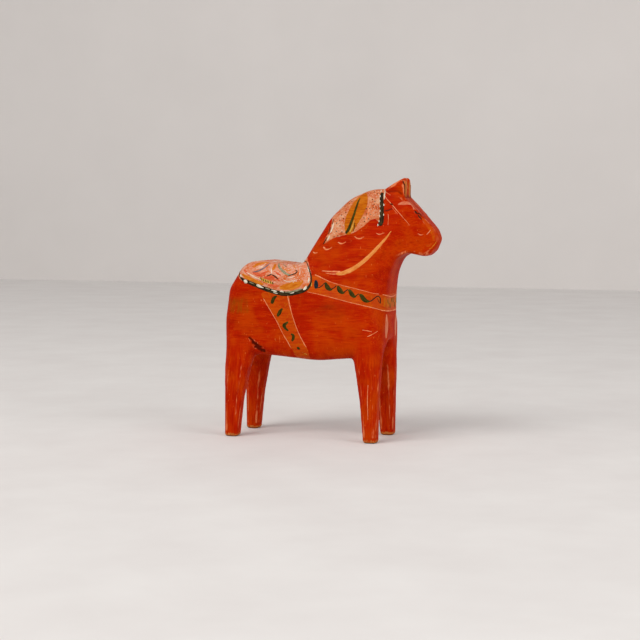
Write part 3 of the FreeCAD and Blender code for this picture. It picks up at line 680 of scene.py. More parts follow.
def signed_distance(places, outline):
    """Distance inside (positive) or outside a side-view outline, for each place."""
    flat = places[:, [0, 2]]
    corners = np.array(outline, float)
    nearest = np.full(len(flat), 1e9)
    inside = np.zeros(len(flat), dtype=bool)
    for start, end in zip(corners, np.roll(corners, -1, axis=0)):
        nearest = np.minimum(nearest, distance_to_line(places, start, end))
        with np.errstate(divide="ignore", invalid="ignore"):
            crossing = start[0] + (flat[:, 1] - start[1]) * (end[0] - start[0]) / (end[1] - start[1])
        straddles = (start[1] > flat[:, 1]) != (end[1] > flat[:, 1])
        inside ^= straddles & (flat[:, 0] < crossing)
    return np.where(inside, nearest, -nearest)


def round_outline(knots):
    """A closed smooth outline through x, z points."""
    wrapped = [knots[-1]] + list(knots) + [knots[0], knots[1]]
    line = smooth_line([(x, 0.0, z, 0.0) for x, z in wrapped])
    rows = line[:, [0, 2]]
    start = int(np.argmin(np.linalg.norm(rows[:len(rows) // 3] - np.array(knots[0]), axis=1)))
    tail = rows[2 * len(rows) // 3:]
    stop = 2 * len(rows) // 3 + int(np.argmin(np.linalg.norm(tail - np.array(knots[0]), axis=1)))
    return rows[start:stop:3]


def field(name, knots, paint, nodes, height=COAT, ragged=0.25, cuts=2):
    """A field of paint: the wood's own skin inside a side-view outline, raised by a coat."""
    outline = round_outline(knots)
    piece = bpy.data.objects.new(name, BLOCK.data.copy())
    bpy.context.scene.collection.objects.link(piece)
    places = corner_places(piece)
    select_parts(piece, "VERT", signed_distance(places, outline) < -1.5)
    bpy.ops.mesh.delete(type="VERT")
    bpy.ops.mesh.select_all(action="SELECT")
    bpy.ops.mesh.subdivide(number_cuts=cuts)
    bpy.ops.object.mode_set(mode="OBJECT")
    places = corner_places(piece)
    normals = read_rows(piece.data.vertices, "normal")
    inside = signed_distance(places, outline)
    rise = np.clip((inside + ragged * grains(places, 1.1)) / 0.3, -1.0, 1.0)
    lumps = 0.02 * grains(places * (0.5, 1.0, 1.0), 0.5)
    lift = np.where(rise > 0, rise * (height + lumps), rise * WET_EDGE)
    move_corners(piece, places + normals * lift[:, None])
    write_brush_map(piece, places[:, [0, 2]] + places[:, [1, 1]] * 0.3)
    select_parts(piece, "VERT", inside < -0.6)
    bpy.ops.mesh.delete(type="VERT")
    bpy.ops.object.mode_set(mode="OBJECT")
    apply_modifier(piece, "SOLIDIFY", thickness=SKIN * MM, offset=-1.0)
    hand_over(piece, paint, nodes)


GOLDEN = 0.618034      # share that spreads marks evenly without a pattern

# Outlines and strokes in the side view: x and z, then width for strokes.
SADDLE = [
    (-12.6, 103.5), (-10.2, 98.7), (-8.4, 94.0), (-7.9, 90.4), (-9.5, 87.2), (-13.0, 85.2),
    (-18.0, 83.9), (-23.1, 83.4), (-27.7, 83.8), (-33.3, 85.2), (-38.9, 87.0), (-45.0, 89.3),
    (-48.7, 90.6), (-52.2, 92.4), (-54.2, 95.0), (-53.6, 99.0), (-51.0, 104.0), (-40.0, 106.5),
    (-26.0, 106.5), (-16.0, 106.0),
]
MANE = [
    (-2.7, 112.6), (-0.6, 118.6), (1.2, 124.2), (0.6, 131.0), (5.0, 138.0), (14.0, 145.0),
    (24.0, 147.5), (31.0, 146.5), (31.6, 138.0), (31.0, 128.0), (29.6, 125.0), (27.4, 126.9),
    (24.4, 126.0), (21.0, 123.2), (15.5, 119.4), (9.2, 117.6), (2.3, 115.6),
]
LEAF = [
    (10.3, 118.2), (9.2, 121.5), (9.0, 124.5), (9.6, 128.0), (11.2, 131.8), (13.2, 135.6),
    (15.6, 138.8), (18.4, 141.2), (20.9, 141.4), (22.4, 138.1), (22.0, 134.2), (20.3, 129.6),
    (18.0, 125.1), (15.4, 121.0), (12.7, 118.2),
]
BREAST_STRAP = [
    (-8.0, 94.8), (-2.5, 93.3), (3.7, 90.7), (9.8, 89.2), (15.8, 87.9), (21.8, 86.6), (27.8, 85.1),
    (31.7, 84.0), (36.0, 83.4), (36.0, 74.4), (30.4, 76.0), (24.1, 77.9), (16.4, 79.5), (9.3, 81.1),
    (1.6, 82.8), (-5.2, 84.4), (-9.6, 85.8), (-8.4, 90.0),
]
GIRTH = [
    (-37.2, 84.6), (-35.1, 78.6), (-32.0, 73.7), (-28.3, 67.8), (-25.3, 62.1), (-21.6, 56.4),
    (-18.6, 50.0), (-17.0, 45.6), (-10.5, 45.6), (-9.4, 50.0), (-11.0, 55.0), (-14.9, 61.2),
    (-17.3, 66.9), (-19.4, 73.2), (-21.0, 79.4), (-21.8, 84.2),
]


def paint_fields():
    """Saddle, mane, leaf and the two straps' ochre infill."""
    field("saddle_field", SADDLE, "saddle", ["saddle_paint"], cuts=1)
    field("mane_field", MANE, "mane", ["mane_paint"])
    field("mane_leaf_dab", LEAF, "leaf", ["mane_leaf"], height=COAT + 0.08, ragged=0.15)
    field("breast_strap_glaze", BREAST_STRAP, "strap", ["breast_strap"], height=GLAZE)
    field("girth_strap_glaze", GIRTH, "strap", ["girth_strap"], height=GLAZE)


def paint_saddle():
    """The dark border with its thick white marks, and the curls and dabs inside it."""
    edge = [
        (-12.7, 102.2, 0.5), (-10.6, 98.4, 0.7), (-8.8, 94.2, 0.9), (-8.4, 90.4, 1.1), (-9.8, 87.6, 1.8),
        (-13.2, 85.9, 2.4), (-18.2, 84.7, 2.7), (-23.2, 84.2, 2.8), (-27.8, 84.7, 2.7), (-33.4, 86.1, 2.6),
        (-39.0, 87.9, 2.4), (-44.9, 90.1, 2.2), (-48.6, 91.5, 1.9), (-51.6, 93.1, 1.1),
    ]
    both_sides("saddle_edge_line", [edge], "black", ["saddle_border"], 0.12, 2, 0.35)
    white = [
        [(-51.9, 94.4, 0.7), (-51.2, 93.9, 1.2), (-50.6, 93.1, 0.7)],
        [(-48.8, 91.6, 1.1), (-47.6, 90.8, 2.3), (-46.4, 90.0, 1.3)],
        [(-41.0, 89.0, 0.8), (-39.6, 88.4, 1.7), (-37.8, 87.7, 1.1), (-36.4, 87.2, 0.5)],
        [(-31.8, 86.2, 0.5), (-30.0, 85.6, 1.1), (-28.2, 85.4, 0.5)],
        [(-30.6, 84.8, 0.4), (-29.0, 84.4, 0.7), (-27.6, 84.2, 0.4)],
        [(-26.6, 85.4, 0.5), (-25.2, 85.4, 1.1), (-24.0, 84.8, 0.6)],
        [(-20.4, 84.4, 0.3), (-19.0, 84.6, 0.7), (-17.6, 85.0, 0.4)],
        [(-12.4, 86.4, 0.7), (-11.2, 87.4, 1.6), (-10.4, 88.8, 0.8)],
        [(-9.9, 90.4, 0.5), (-9.6, 92.0, 0.9), (-9.8, 93.6, 0.5)],
        [(-10.3, 96.4, 0.4), (-10.8, 97.8, 0.6), (-11.6, 99.2, 0.4)],
    ]
    both_sides("saddle_white_marks", white, "white", [], 0.24, 2, 0.1)
    green = [
        [(-23.6, 84.9, 0.5), (-20.4, 85.2, 1.1), (-16.4, 86.0, 1.3), (-13.0, 87.2, 0.8)],
        [(-35.6, 87.3, 0.5), (-34.0, 86.8, 0.9), (-32.4, 86.4, 0.5)],
        [(-45.4, 90.6, 0.4), (-43.6, 89.8, 0.8), (-42.2, 89.3, 0.4)],
    ]
    both_sides("saddle_green_marks", green, "grey", [], 0.20, 2, 0.25)
    curls = [
        [(-29.9, 101.0, 0.7), (-28.6, 99.6, 1.4), (-26.6, 97.9, 1.6), (-24.4, 96.3, 1.7), (-22.0, 95.2, 1.2),
         (-20.2, 94.9, 0.5)],
        [(-27.4, 100.6, 0.4), (-25.6, 100.0, 0.7), (-23.6, 99.0, 0.5)],
    ]
    both_sides("saddle_grey_curls", curls, "grey", ["saddle_petals"], 0.14, 2, 0.2)
    violet = [
        [(-43.4, 96.2, 0.5), (-41.2, 96.5, 1.0), (-38.6, 97.5, 1.2), (-36.2, 99.2, 1.1), (-34.4, 101.0, 0.6)],
    ]
    both_sides("saddle_violet_curve", violet, "purple", [], 0.14, 2, 0.15)
    dark = [
        [(-21.9, 94.2, 0.4), (-19.7, 94.9, 0.7), (-17.5, 95.7, 0.7), (-16.8, 97.0, 0.6), (-18.2, 97.6, 0.3)],
        [(-34.6, 93.9, 0.4), (-33.0, 94.6, 0.8), (-31.6, 95.2, 0.5)],
        [(-31.6, 94.9, 0.5), (-30.0, 94.2, 0.9), (-28.6, 93.2, 0.9), (-27.4, 92.2, 0.5)],
    ] + [
        [(x - 0.35, z + 0.8, 0.5), (x + 0.25, z - 0.8, 0.8)]
        for x, z in ((-38.0, 92.6), (-36.6, 91.9), (-35.1, 91.3), (-33.6, 90.9), (-32.1, 90.5), (-30.8, 90.1))
    ]
    both_sides("saddle_dark_marks", dark, "black", [], 0.20, 2)
    light = [[(-39.4, 93.0, 0.8), (-36.6, 91.8, 1.9), (-33.6, 90.8, 2.0), (-30.6, 89.9, 0.9)]]
    both_sides("saddle_yellow_band", light, "yellow", [], 0.08, 2, 0.3)
    ochre = [
        [(-43.4, 98.6, 1.0), (-41.6, 100.4, 2.6), (-38.6, 101.4, 2.4), (-35.6, 101.4, 1.2)],
        [(-50.4, 95.0, 1.2), (-46.8, 93.2, 2.2), (-43.2, 91.7, 2.4), (-39.8, 90.3, 2.0), (-36.4, 89.1, 1.2)],
        [(-27.0, 87.4, 1.6), (-23.0, 88.0, 4.0), (-18.8, 88.8, 4.6), (-15.2, 89.8, 3.4), (-12.6, 91.6, 1.4)],
        [(-31.4, 100.8, 1.4), (-30.9, 99.0, 1.8), (-31.4, 97.2, 0.9)],
        [(-21.2, 100.8, 0.4), (-19.4, 99.4, 0.8), (-17.6, 98.4, 0.6)],
        [(-26.6, 99.4, 0.5), (-24.4, 97.9, 0.8), (-21.8, 97.3, 0.7), (-20.2, 98.2, 0.4)],
    ]
    both_sides("saddle_ochre_dabs", ochre, "orange", [], 0.10, 2, 0.35)
    rose = [
        [(-36.4, 93.0, 1.2), (-33.0, 93.2, 2.8), (-29.6, 93.0, 3.0), (-26.2, 91.6, 1.6)],
        [(-43.6, 96.0, 0.8), (-41.0, 95.2, 1.8), (-38.0, 94.4, 2.0), (-35.4, 95.2, 1.0)],
        [(-49.6, 97.4, 0.8), (-47.4, 96.0, 1.6), (-45.6, 95.2, 0.8)],
        [(-34.0, 89.0, 0.8), (-30.4, 88.6, 1.6), (-27.4, 88.4, 0.8)],
        [(-40.2, 94.6, 0.6), (-37.4, 95.4, 1.4), (-34.6, 96.6, 1.0)],
        [(-30.6, 97.0, 0.6), (-28.4, 95.6, 1.2), (-25.8, 94.4, 0.8)],
    ]
    both_sides("saddle_rose_dabs", rose, "rose", [], 0.09, 2, 0.3)
    pale = [
        [(-41.6, 97.9, 0.4), (-38.9, 99.0, 0.9), (-36.7, 101.0, 0.5)],
        [(-47.4, 96.0, 0.5), (-43.9, 94.3, 0.9), (-40.8, 92.8, 0.9), (-37.9, 91.9, 0.4)],
        [(-22.4, 93.2, 0.4), (-20.0, 93.4, 0.7), (-17.4, 94.2, 0.4)],
        [(-33.2, 99.6, 0.4), (-31.9, 96.4, 0.8), (-31.6, 95.4, 0.4)],
        [(-24.8, 92.2, 0.3), (-22.0, 91.2, 0.7), (-18.6, 91.4, 0.6), (-15.4, 92.6, 0.3)],
        [(-16.0, 99.0, 0.3), (-15.2, 97.0, 0.6), (-14.9, 94.6, 0.4)],
    ]
    both_sides("saddle_pale_strokes", pale, "blush", [], 0.16, 2, 0.25)
    stipple = small_dabs(70, (-30.0, -11.0), (90.5, 101.5), 0.42, 0.7)
    both_sides("saddle_pale_stipple", stipple, "blush", [], 0.16, 2, 0.1)


def drop(x, y):
    """Where a place above the back meets the wood when it falls straight down."""
    return touch((x, y, 110.0), (0.0, 0.0, -1.0))


def paint_saddle_top():
    """Petals over the middle of the back, and the border where it crosses from side to side."""
    petals = {"orange": [], "rose": [], "blush": []}
    for number, paint in enumerate(("orange", "rose", "blush", "orange", "rose", "blush")):
        x = -46.0 + number * 4.4
        for side in SIDES:
            rows = [
                (*drop(x, side * 1.5), 0.8), (*drop(x + 1.6, side * 4.5), 2.4),
                (*drop(x + 0.8, side * 8.5), 1.0),
            ]
            petals[paint].append(stroke(rows, 0.10, 2, 0.3, number + 0.5 * side))
    finish_film("saddle_top_orange_petals", petals["orange"], "orange")
    finish_film("saddle_top_rose_petals", petals["rose"], "rose")
    finish_film("saddle_top_pale_petals", petals["blush"], "blush")
    rear = [
        (*on_flank(-51.6, 93.1, RIGHT), 1.1), (*on_flank(-53.2, 95.6, RIGHT), 1.1),
        (*drop(-53.6, -14.0), 1.0),
        (*drop(-53.0, -5.0), 1.1), (*drop(-53.0, 5.0), 1.0), (*drop(-53.6, 14.0), 1.1),
        (*on_flank(-53.2, 95.6, LEFT), 1.1), (*on_flank(-51.6, 93.1, LEFT), 1.1),
    ]
    front = [
        (*on_flank(-12.7, 102.2, RIGHT), 0.5), (*drop(-14.6, -12.0), 0.7), (*drop(-15.2, 0.0), 0.8),
        (*drop(-14.6, 12.0), 0.7), (*on_flank(-12.7, 102.2, LEFT), 0.5),
    ]
    across = [stroke(rear, 0.12, 2, 0.3, 2.0), stroke(front, 0.12, 2, 0.3, 6.0)]
    finish_film("saddle_edge_over_back", across, "black")


def small_dabs(count, across, upwards, width, length):
    """Short slanting dabs spread evenly through a side-view box."""
    dabs = []
    for number in range(count):
        x = across[0] + (across[1] - across[0]) * (number * GOLDEN % 1.0)
        z = upwards[0] + (upwards[1] - upwards[0]) * (number + 0.5) / count
        lean = grain(x, 0.0, z, 2.3)
        size = width * (1.0 + 0.5 * grain(x, 5.0, z, 1.1))
        dabs.append([
            (x - length * 0.5, z - lean * length, size * 0.6), (x, z, size),
            (x + length * 0.5, z + lean * length, size * 0.6)])
    return dabs


def paint_mane():
    """The leaf's vein, the black stripe with its light dashes, and the worn rear edge."""
    dark = [
        [(10.2, 118.5, 1.5), (11.8, 121.0, 1.7), (13.0, 124.6, 1.5), (14.3, 128.4, 1.4), (15.4, 132.4, 1.2),
         (16.4, 135.9, 1.1), (17.4, 138.6, 0.6)],
        [(14.6, 119.8, 0.3), (15.2, 122.0, 0.5), (15.3, 124.6, 0.3)],
    ]
    both_sides("mane_leaf_vein", dark, "green", [], 0.16, 3)
    stripe = [[
        (29.9, 144.0, 1.4), (30.2, 141.5, 2.0), (30.3, 138.5, 2.1), (30.7, 135.0, 2.3), (30.9, 131.0, 2.4),
        (31.0, 127.5, 2.6), (30.8, 125.0, 2.9), (29.9, 123.0, 2.3),
    ]]
    both_sides("mane_black_stripe", stripe, "black", ["mane_stripe"], 0.22, 2)
    dashes = [
        [(x, z + 0.7, 0.35), (x + 0.2, z, 0.7), (x + 0.1, z - 0.7, 0.35)]
        for x, z in (
            (29.0, 142.4), (29.2, 139.6), (29.3, 136.9), (29.5, 134.0), (29.7, 131.3), (29.7, 128.4),
            (29.5, 125.6), (28.9, 123.4), (31.5, 140.2), (31.7, 134.8), (31.9, 129.2))
    ]
    both_sides("mane_stripe_dashes", dashes, "white", [], 0.30, 2)
    rear = [
        [(-2.9, 112.4, 0.5), (-1.9, 114.2, 0.7), (-0.9, 116.6, 0.5)],
        [(-0.4, 118.0, 0.4), (0.4, 120.2, 0.6), (1.0, 122.2, 0.4)],
        [(1.6, 123.4, 0.4), (2.0, 125.2, 0.5), (2.2, 126.8, 0.3)],
    ]
    both_sides("mane_rear_line", rear, "black", [], 0.14, 2)
    pale = [
        [(-0.8, 114.4, 0.4), (0.1, 115.8, 0.9), (0.6, 117.4, 0.6)],
        [(1.0, 118.8, 0.5), (1.7, 120.6, 0.9), (2.2, 122.6, 0.8), (2.5, 124.4, 0.4)],
        [(31.6, 143.6, 0.4), (31.9, 140.6, 0.6), (32.1, 137.8, 0.4)],
    ]
    both_sides("mane_pale_marks", pale, "white", [], 0.18, 2, 0.15)
    yellow = [
        [(12.6, 119.3, 1.1), (13.6, 121.4, 1.0), (14.4, 124.0, 0.7), (14.9, 126.4, 0.3)],
    ]
    both_sides("mane_leaf_light", yellow, "yellow", [], 0.14, 3)
    worn = [
        [(21.8, 124.9, 0.5), (22.6, 128.4, 1.3), (23.3, 132.6, 1.0), (23.9, 136.0, 0.4)],
        [(24.2, 126.2, 0.3), (25.0, 130.0, 0.7), (26.4, 134.0, 0.8), (27.2, 137.0, 0.4)],
    ]
    both_sides("mane_cream_strokes", worn, "cream", [], 0.10, 2, 0.4)
    stipple = small_dabs(26, (22.8, 28.6), (128.0, 143.0), 0.38, 0.6)
    stipple += small_dabs(20, (3.5, 8.6), (118.0, 130.0), 0.38, 0.6)
    both_sides("mane_pale_stipple", stipple, "blush", [], 0.14, 2, 0.1)
    red = [[(2.4, 129.6, 0.6), (3.6, 130.2, 1.4), (5.2, 130.4, 0.8)]]
    both_sides("mane_red_dab", red, "rose", [], 0.12, 2)
    places = (
        (8.4, 133.8), (6.9, 128.9), (11.0, 135.3), (12.3, 136.7), (4.6, 119.7), (7.9, 119.4), (6.5, 122.8),
        (5.6, 117.1), (8.4, 127.0), (9.5, 130.4), (25.0, 137.8), (26.5, 136.7), (21.6, 132.6),
        (23.7, 132.8), (26.0, 133.3), (22.2, 129.6), (24.6, 129.4), (21.0, 125.4), (20.6, 127.4),
        (23.3, 126.9), (26.3, 135.0), (27.6, 141.0), (25.4, 142.0), (4.4, 124.4), (3.4, 116.6), (6.2, 126.0),
    )
    dots = []
    for number, (x, z) in enumerate(places):
        size = 0.80 + 0.25 * grain(x, 0.0, z, 1.7)
        dots.append([(x - 0.3, z - 0.2, size), (x + 0.3, z + 0.25, size)])
    both_sides("mane_dots", dots, "black", [], 0.16, 2)


def paint_neck_and_face():
    """Cream dashes and the long stroke on the neck, the bridle's worn lines, the eye, and painted light along
    the nose.
    """
    dashes = [
        [(-9.2, 108.0, 0.8), (-7.9, 107.3, 0.9), (-6.0, 107.6, 0.4)],
        [(-2.9, 110.9, 1.2), (-1.2, 109.5, 1.0), (0.8, 109.7, 0.6), (2.6, 110.9, 0.3)],
        [(5.6, 113.7, 0.4), (7.4, 112.9, 0.9), (9.0, 113.0, 0.8), (10.8, 114.0, 0.3)],
        [(15.4, 117.0, 0.4), (17.2, 115.9, 0.9), (19.2, 115.8, 0.8), (21.2, 116.9, 0.3)],
        [(28.2, 118.9, 0.3), (30.2, 118.2, 0.7), (33.2, 119.1, 0.3)],
    ]
    both_sides("neck_cream_dashes", dashes, "cream", ["mane_dashes"], 0.10, 1, 0.35)
    sweep = [[
        (37.1, 120.2, 0.4), (34.2, 116.2, 1.3), (30.4, 111.7, 1.9), (25.9, 106.9, 2.2), (20.9, 102.3, 2.4),
        (15.8, 98.7, 2.6), (11.1, 96.6, 2.6), (7.4, 95.8, 2.0), (5.6, 95.8, 1.0),
    ]]
    both_sides("neck_long_stroke", sweep, "neck_cream", ["neck_stroke"], 0.16, 1, 0.12)
    tail = [
        [(8.4, 96.9, 1.0), (5.0, 97.0, 1.1), (1.6, 97.0, 0.8), (-2.9, 97.3, 0.4)],
        [(7.8, 95.6, 0.7), (3.4, 95.6, 0.7), (-0.6, 96.1, 0.3)],
    ]
    both_sides("neck_stroke_tail", tail, "cream", [], 0.10, 1, 0.4)
    bridle = [
        [(31.3, 140.6, 0.5), (33.8, 137.7, 0.5), (36.0, 135.6, 0.6), (39.8, 131.6, 0.45), (43.4, 127.7, 0.35),
         (47.2, 123.2, 0.2)],
        [(36.8, 133.4, 0.2), (38.6, 131.4, 0.25), (40.4, 129.4, 0.2)],
        [(34.6, 129.9, 0.3), (35.0, 126.9, 0.5), (34.9, 123.3, 0.3)],
        [(31.9, 142.4, 0.3), (33.6, 141.2, 0.4), (35.6, 140.2, 0.3)],
        [(51.4, 118.8, 0.3), (53.0, 117.9, 0.5), (54.6, 118.2, 0.3)],
        [(56.2, 118.0, 0.3), (57.6, 119.6, 0.5), (58.6, 121.0, 0.5)],
    ]
    both_sides("bridle_cream_lines", bridle, "cream", ["bridle_lines"], 0.09, 1, 0.5)
    dark = [
        [(32.4, 131.5, 0.3), (34.4, 131.6, 0.6), (36.8, 132.7, 0.5)],
        [(35.3, 135.2, 0.6), (36.4, 135.3, 1.1), (37.3, 134.6, 0.6)],
        [(51.2, 132.8, 0.5), (52.0, 131.7, 1.5), (53.0, 130.9, 0.8)],
        [(51.8, 131.2, 0.5), (52.4, 129.6, 1.3), (53.2, 128.0, 0.5)],
        [(53.0, 130.8, 0.5), (54.0, 129.0, 1.2), (54.8, 127.4, 0.5)],
    ]
    both_sides("eye_and_brow_marks", dark, "brown", ["eye_marks"], 0.12, 1)
    muzzle = [
        [(59.4, 111.4, 0.4), (60.4, 112.4, 0.8), (61.6, 114.6, 0.4)],
        [(57.6, 109.9, 0.3), (58.9, 110.6, 0.6), (59.8, 111.8, 0.3)],
    ]
    both_sides("muzzle_marks", muzzle, "orange", [], 0.08, 1, 0.3)
    # Painted light: a thin orange glaze where the nose's facet is lit, lighter than the red beside it.
    nose = [
        [(53.6, 127.4, 1.2), (56.0, 124.6, 2.6), (58.4, 121.2, 3.2), (60.0, 117.6, 2.6), (60.4, 114.4, 1.2)],
        [(55.6, 112.4, 0.8), (57.4, 112.0, 1.8), (59.2, 113.4, 0.8)],
    ]
    both_sides("nose_painted_light", nose, "strap", [], GLAZE, 1, 0.4)


def chest_line(points):
    """Rows of y, z, width across the chest as rows of x, y, z, width."""
    return [(*on_chest(y, z), width) for y, z, width in points]


def paint_breast_strap():
    """Cream edge lines that run on across the chest, and the vine of dark green leaves."""
    top = [
        (-6.8, 95.0, 0.9), (-4.4, 94.1, 0.8), (-1.0, 92.6, 0.5), (3.7, 90.8, 0.45), (9.8, 89.3, 0.35),
        (15.8, 88.0, 0.45), (21.8, 86.7, 0.4), (27.8, 85.2, 0.35), (31.0, 84.6, 0.3),
    ]
    foot = [
        (-10.2, 85.5, 0.3), (-5.2, 84.5, 0.5), (1.6, 83.0, 0.5), (9.3, 81.2, 0.4), (16.4, 79.6, 0.55),
        (24.1, 78.0, 0.5), (30.4, 76.2, 0.4), (32.6, 75.4, 0.3),
    ]
    pieces = []
    for side in SIDES:
        pieces.append(stroke(flank_line(top, side), 0.12, 1, 0.3, 1.0 + side))
        pieces.append(stroke(flank_line(foot, side), 0.12, 1, 0.3, 5.0 + side))
        front_top = [
            (13.4 * side, 84.3, 0.5), (9.0 * side, 83.4, 0.6), (4.0 * side, 82.7, 0.6), (0.0, 82.5, 0.5)]
        front_foot = [
            (14.6 * side, 75.4, 0.5), (9.0 * side, 74.8, 0.8), (4.0 * side, 74.5, 0.8), (0.0, 74.5, 0.6)]
        pieces.append(stroke(chest_line(front_top), 0.12, 1, 0.3, 9.0 + side))
        pieces.append(stroke(chest_line(front_foot), 0.12, 1, 0.2, 13.0 + side))
    finish_film("breast_strap_lines", pieces, "cream", ["breast_strap_edging"])
    leaves = [
        [(-0.2, 91.0, 1.0), (0.3, 89.6, 2.2), (1.3, 88.0, 3.0), (2.9, 86.9, 2.0), (4.4, 87.2, 0.8)],
        [(7.2, 89.2, 1.2), (7.8, 87.9, 2.4), (9.0, 86.2, 3.1), (10.4, 85.2, 2.0), (11.8, 85.5, 0.8)],
        [(13.6, 87.0, 1.0), (14.8, 86.0, 2.2), (16.0, 84.4, 2.9), (17.4, 83.2, 2.1), (18.8, 83.4, 0.8)],
        [(20.4, 84.6, 1.0), (21.6, 83.6, 2.5), (23.0, 82.0, 3.0), (24.4, 80.9, 2.4), (26.4, 80.5, 1.2)],
    ]
    both_sides("breast_strap_leaf_dabs", leaves, "green", ["breast_strap_leaves"], 0.16, 1)
    vine = [
        [(-4.6, 87.6, 0.7), (-2.8, 88.2, 0.8), (-1.2, 89.8, 0.8), (-0.2, 90.8, 0.7)],
        [(3.6, 87.0, 0.8), (5.2, 87.9, 0.8), (6.6, 89.2, 0.8)],
        [(11.0, 85.4, 0.8), (12.2, 86.2, 0.9), (13.6, 87.2, 0.8)],
        [(18.2, 83.3, 0.8), (19.2, 84.2, 0.8), (20.4, 84.8, 0.8)],
        [(25.6, 80.6, 1.0), (27.5, 81.0, 0.9), (29.1, 82.6, 0.8), (30.5, 83.4, 0.8), (31.4, 82.3, 0.9),
         (31.5, 80.2, 1.1), (31.4, 79.0, 0.6)],
        [(30.2, 82.4, 0.4), (30.6, 81.0, 0.6), (31.2, 79.6, 0.4)],
    ]
    both_sides("breast_strap_vine", vine, "black", [], 0.12, 1)
    blob = [[(-5.9, 92.2, 1.2), (-5.5, 90.4, 2.5), (-5.2, 88.4, 2.5), (-5.6, 87.2, 1.2)]]
    both_sides("breast_strap_blue_dab", blob, "navy", [], 0.18, 1)
    gold = [[(-8.4, 91.8, 0.6), (-8.0, 90.0, 1.1), (-7.9, 88.4, 0.7)]]
    both_sides("breast_strap_gold_mark", gold, "yellow", [], 0.12, 1)
    pieces = []
    dabs = (
        (12.0, 79.8, 3.0, 3.4), (9.2, 79.2, 3.2, 3.6), (6.2, 79.6, 3.0, 3.4), (3.0, 78.8, 3.0, 3.4),
        (0.0, 79.2, 2.8, 3.2),
    )
    for side in SIDES:
        for number, (y, z, long, wide) in enumerate(dabs):
            rows = [
                (y * side, z + long, wide * 0.6), (y * side + 0.5, z, wide), (y * side, z - long, wide * 0.5)]
            pieces.append(stroke(chest_line(rows), 0.08 + 0.01 * number, 1, 0.2, number * 2.3 + side))
    finish_film("chest_gold_dabs", pieces, "leaf")
    pieces = []
    for side in SIDES:
        for number, (y, z) in enumerate(((8.4, 79.8), (4.6, 77.6), (1.4, 80.4))):
            rows = [(y * side, z + 1.6, 0.5), (y * side + 0.5, z, 1.0), (y * side + 1.0, z - 1.5, 0.4)]
            pieces.append(stroke(chest_line(rows), 0.10, 2, 0.25, number * 3.1 + side))
    finish_film("chest_green_dabs", pieces, "green")


def paint_girth():
    """The girth's two cream lines and the green leaves between them."""
    lines = [
        [(-36.6, 81.0, 0.3), (-35.1, 78.6, 0.65), (-32.0, 73.7, 0.4), (-28.3, 67.8, 0.45), (-25.3, 62.1, 0.4),
         (-21.8, 56.4, 0.5), (-19.8, 52.6, 0.3)],
        [(-22.0, 84.0, 0.9), (-21.0, 79.4, 1.0), (-19.4, 73.2, 0.5), (-17.3, 66.9, 0.4), (-14.9, 61.2, 0.4),
         (-11.8, 55.6, 0.55), (-10.4, 53.6, 0.3)],
    ]
    both_sides("girth_cream_lines", lines, "cream", ["girth_strap_edging"], 0.12, 1, 0.3)
    leaves = [
        [(-31.3, 77.9, 1.4), (-31.1, 79.4, 2.6), (-30.2, 81.4, 2.4), (-28.2, 82.9, 1.0)],
        [(-28.0, 70.7, 1.2), (-27.4, 72.2, 2.3), (-26.2, 74.2, 2.3), (-24.8, 75.8, 0.9)],
        [(-21.4, 68.2, 0.8), (-22.8, 67.0, 1.9), (-24.0, 65.8, 2.5), (-23.0, 64.2, 2.0), (-21.2, 62.8, 0.8)],
        [(-20.0, 61.2, 0.8), (-18.6, 60.4, 2.0), (-18.4, 58.6, 2.2), (-19.4, 56.8, 1.0)],
        [(-16.4, 53.6, 0.8), (-15.4, 53.0, 1.9), (-14.4, 52.4, 0.8)],
    ]
    both_sides("girth_leaf_dabs", leaves, "green", ["girth_strap_leaves"], 0.14, 1, 0.15)
    belly = [[(-13.6, 51.0, 0.8), (-12.0, 50.0, 1.8), (-10.4, 49.4, 0.8)]]
    both_sides("girth_gold_mark", belly, "yellow", [], 0.06, 1, 0.45)


def front_line(points, side):
    """Rows of y, z, width on the ears' front as rows of x, y, z, width."""
    return [(*touch((42.0, side * y, z), (-1.0, 0.0, 0.0)), width) for y, z, width in points]


def paint_ears():
    """The ochre front of each ear, and the dark line down its outer edge."""
    coats = []
    lines = []
    for side in SIDES:
        coat = front_line([(4.1, 139.2, 3.0), (4.0, 144.0, 4.2), (3.9, 148.4, 3.4)], side)
        coats.append(stroke(coat, 0.08, 1, 0.12, side))
        edge = front_line([(5.9, 139.0, 0.5), (5.9, 144.0, 0.9), (5.7, 148.4, 0.7)], side)
        lines.append(stroke(edge, 0.08, 2, 0.15, side))
    finish_film("ear_front_coat", coats, "ear", ["ear_paint"])
    finish_film("ear_dark_lines", lines, "brown")


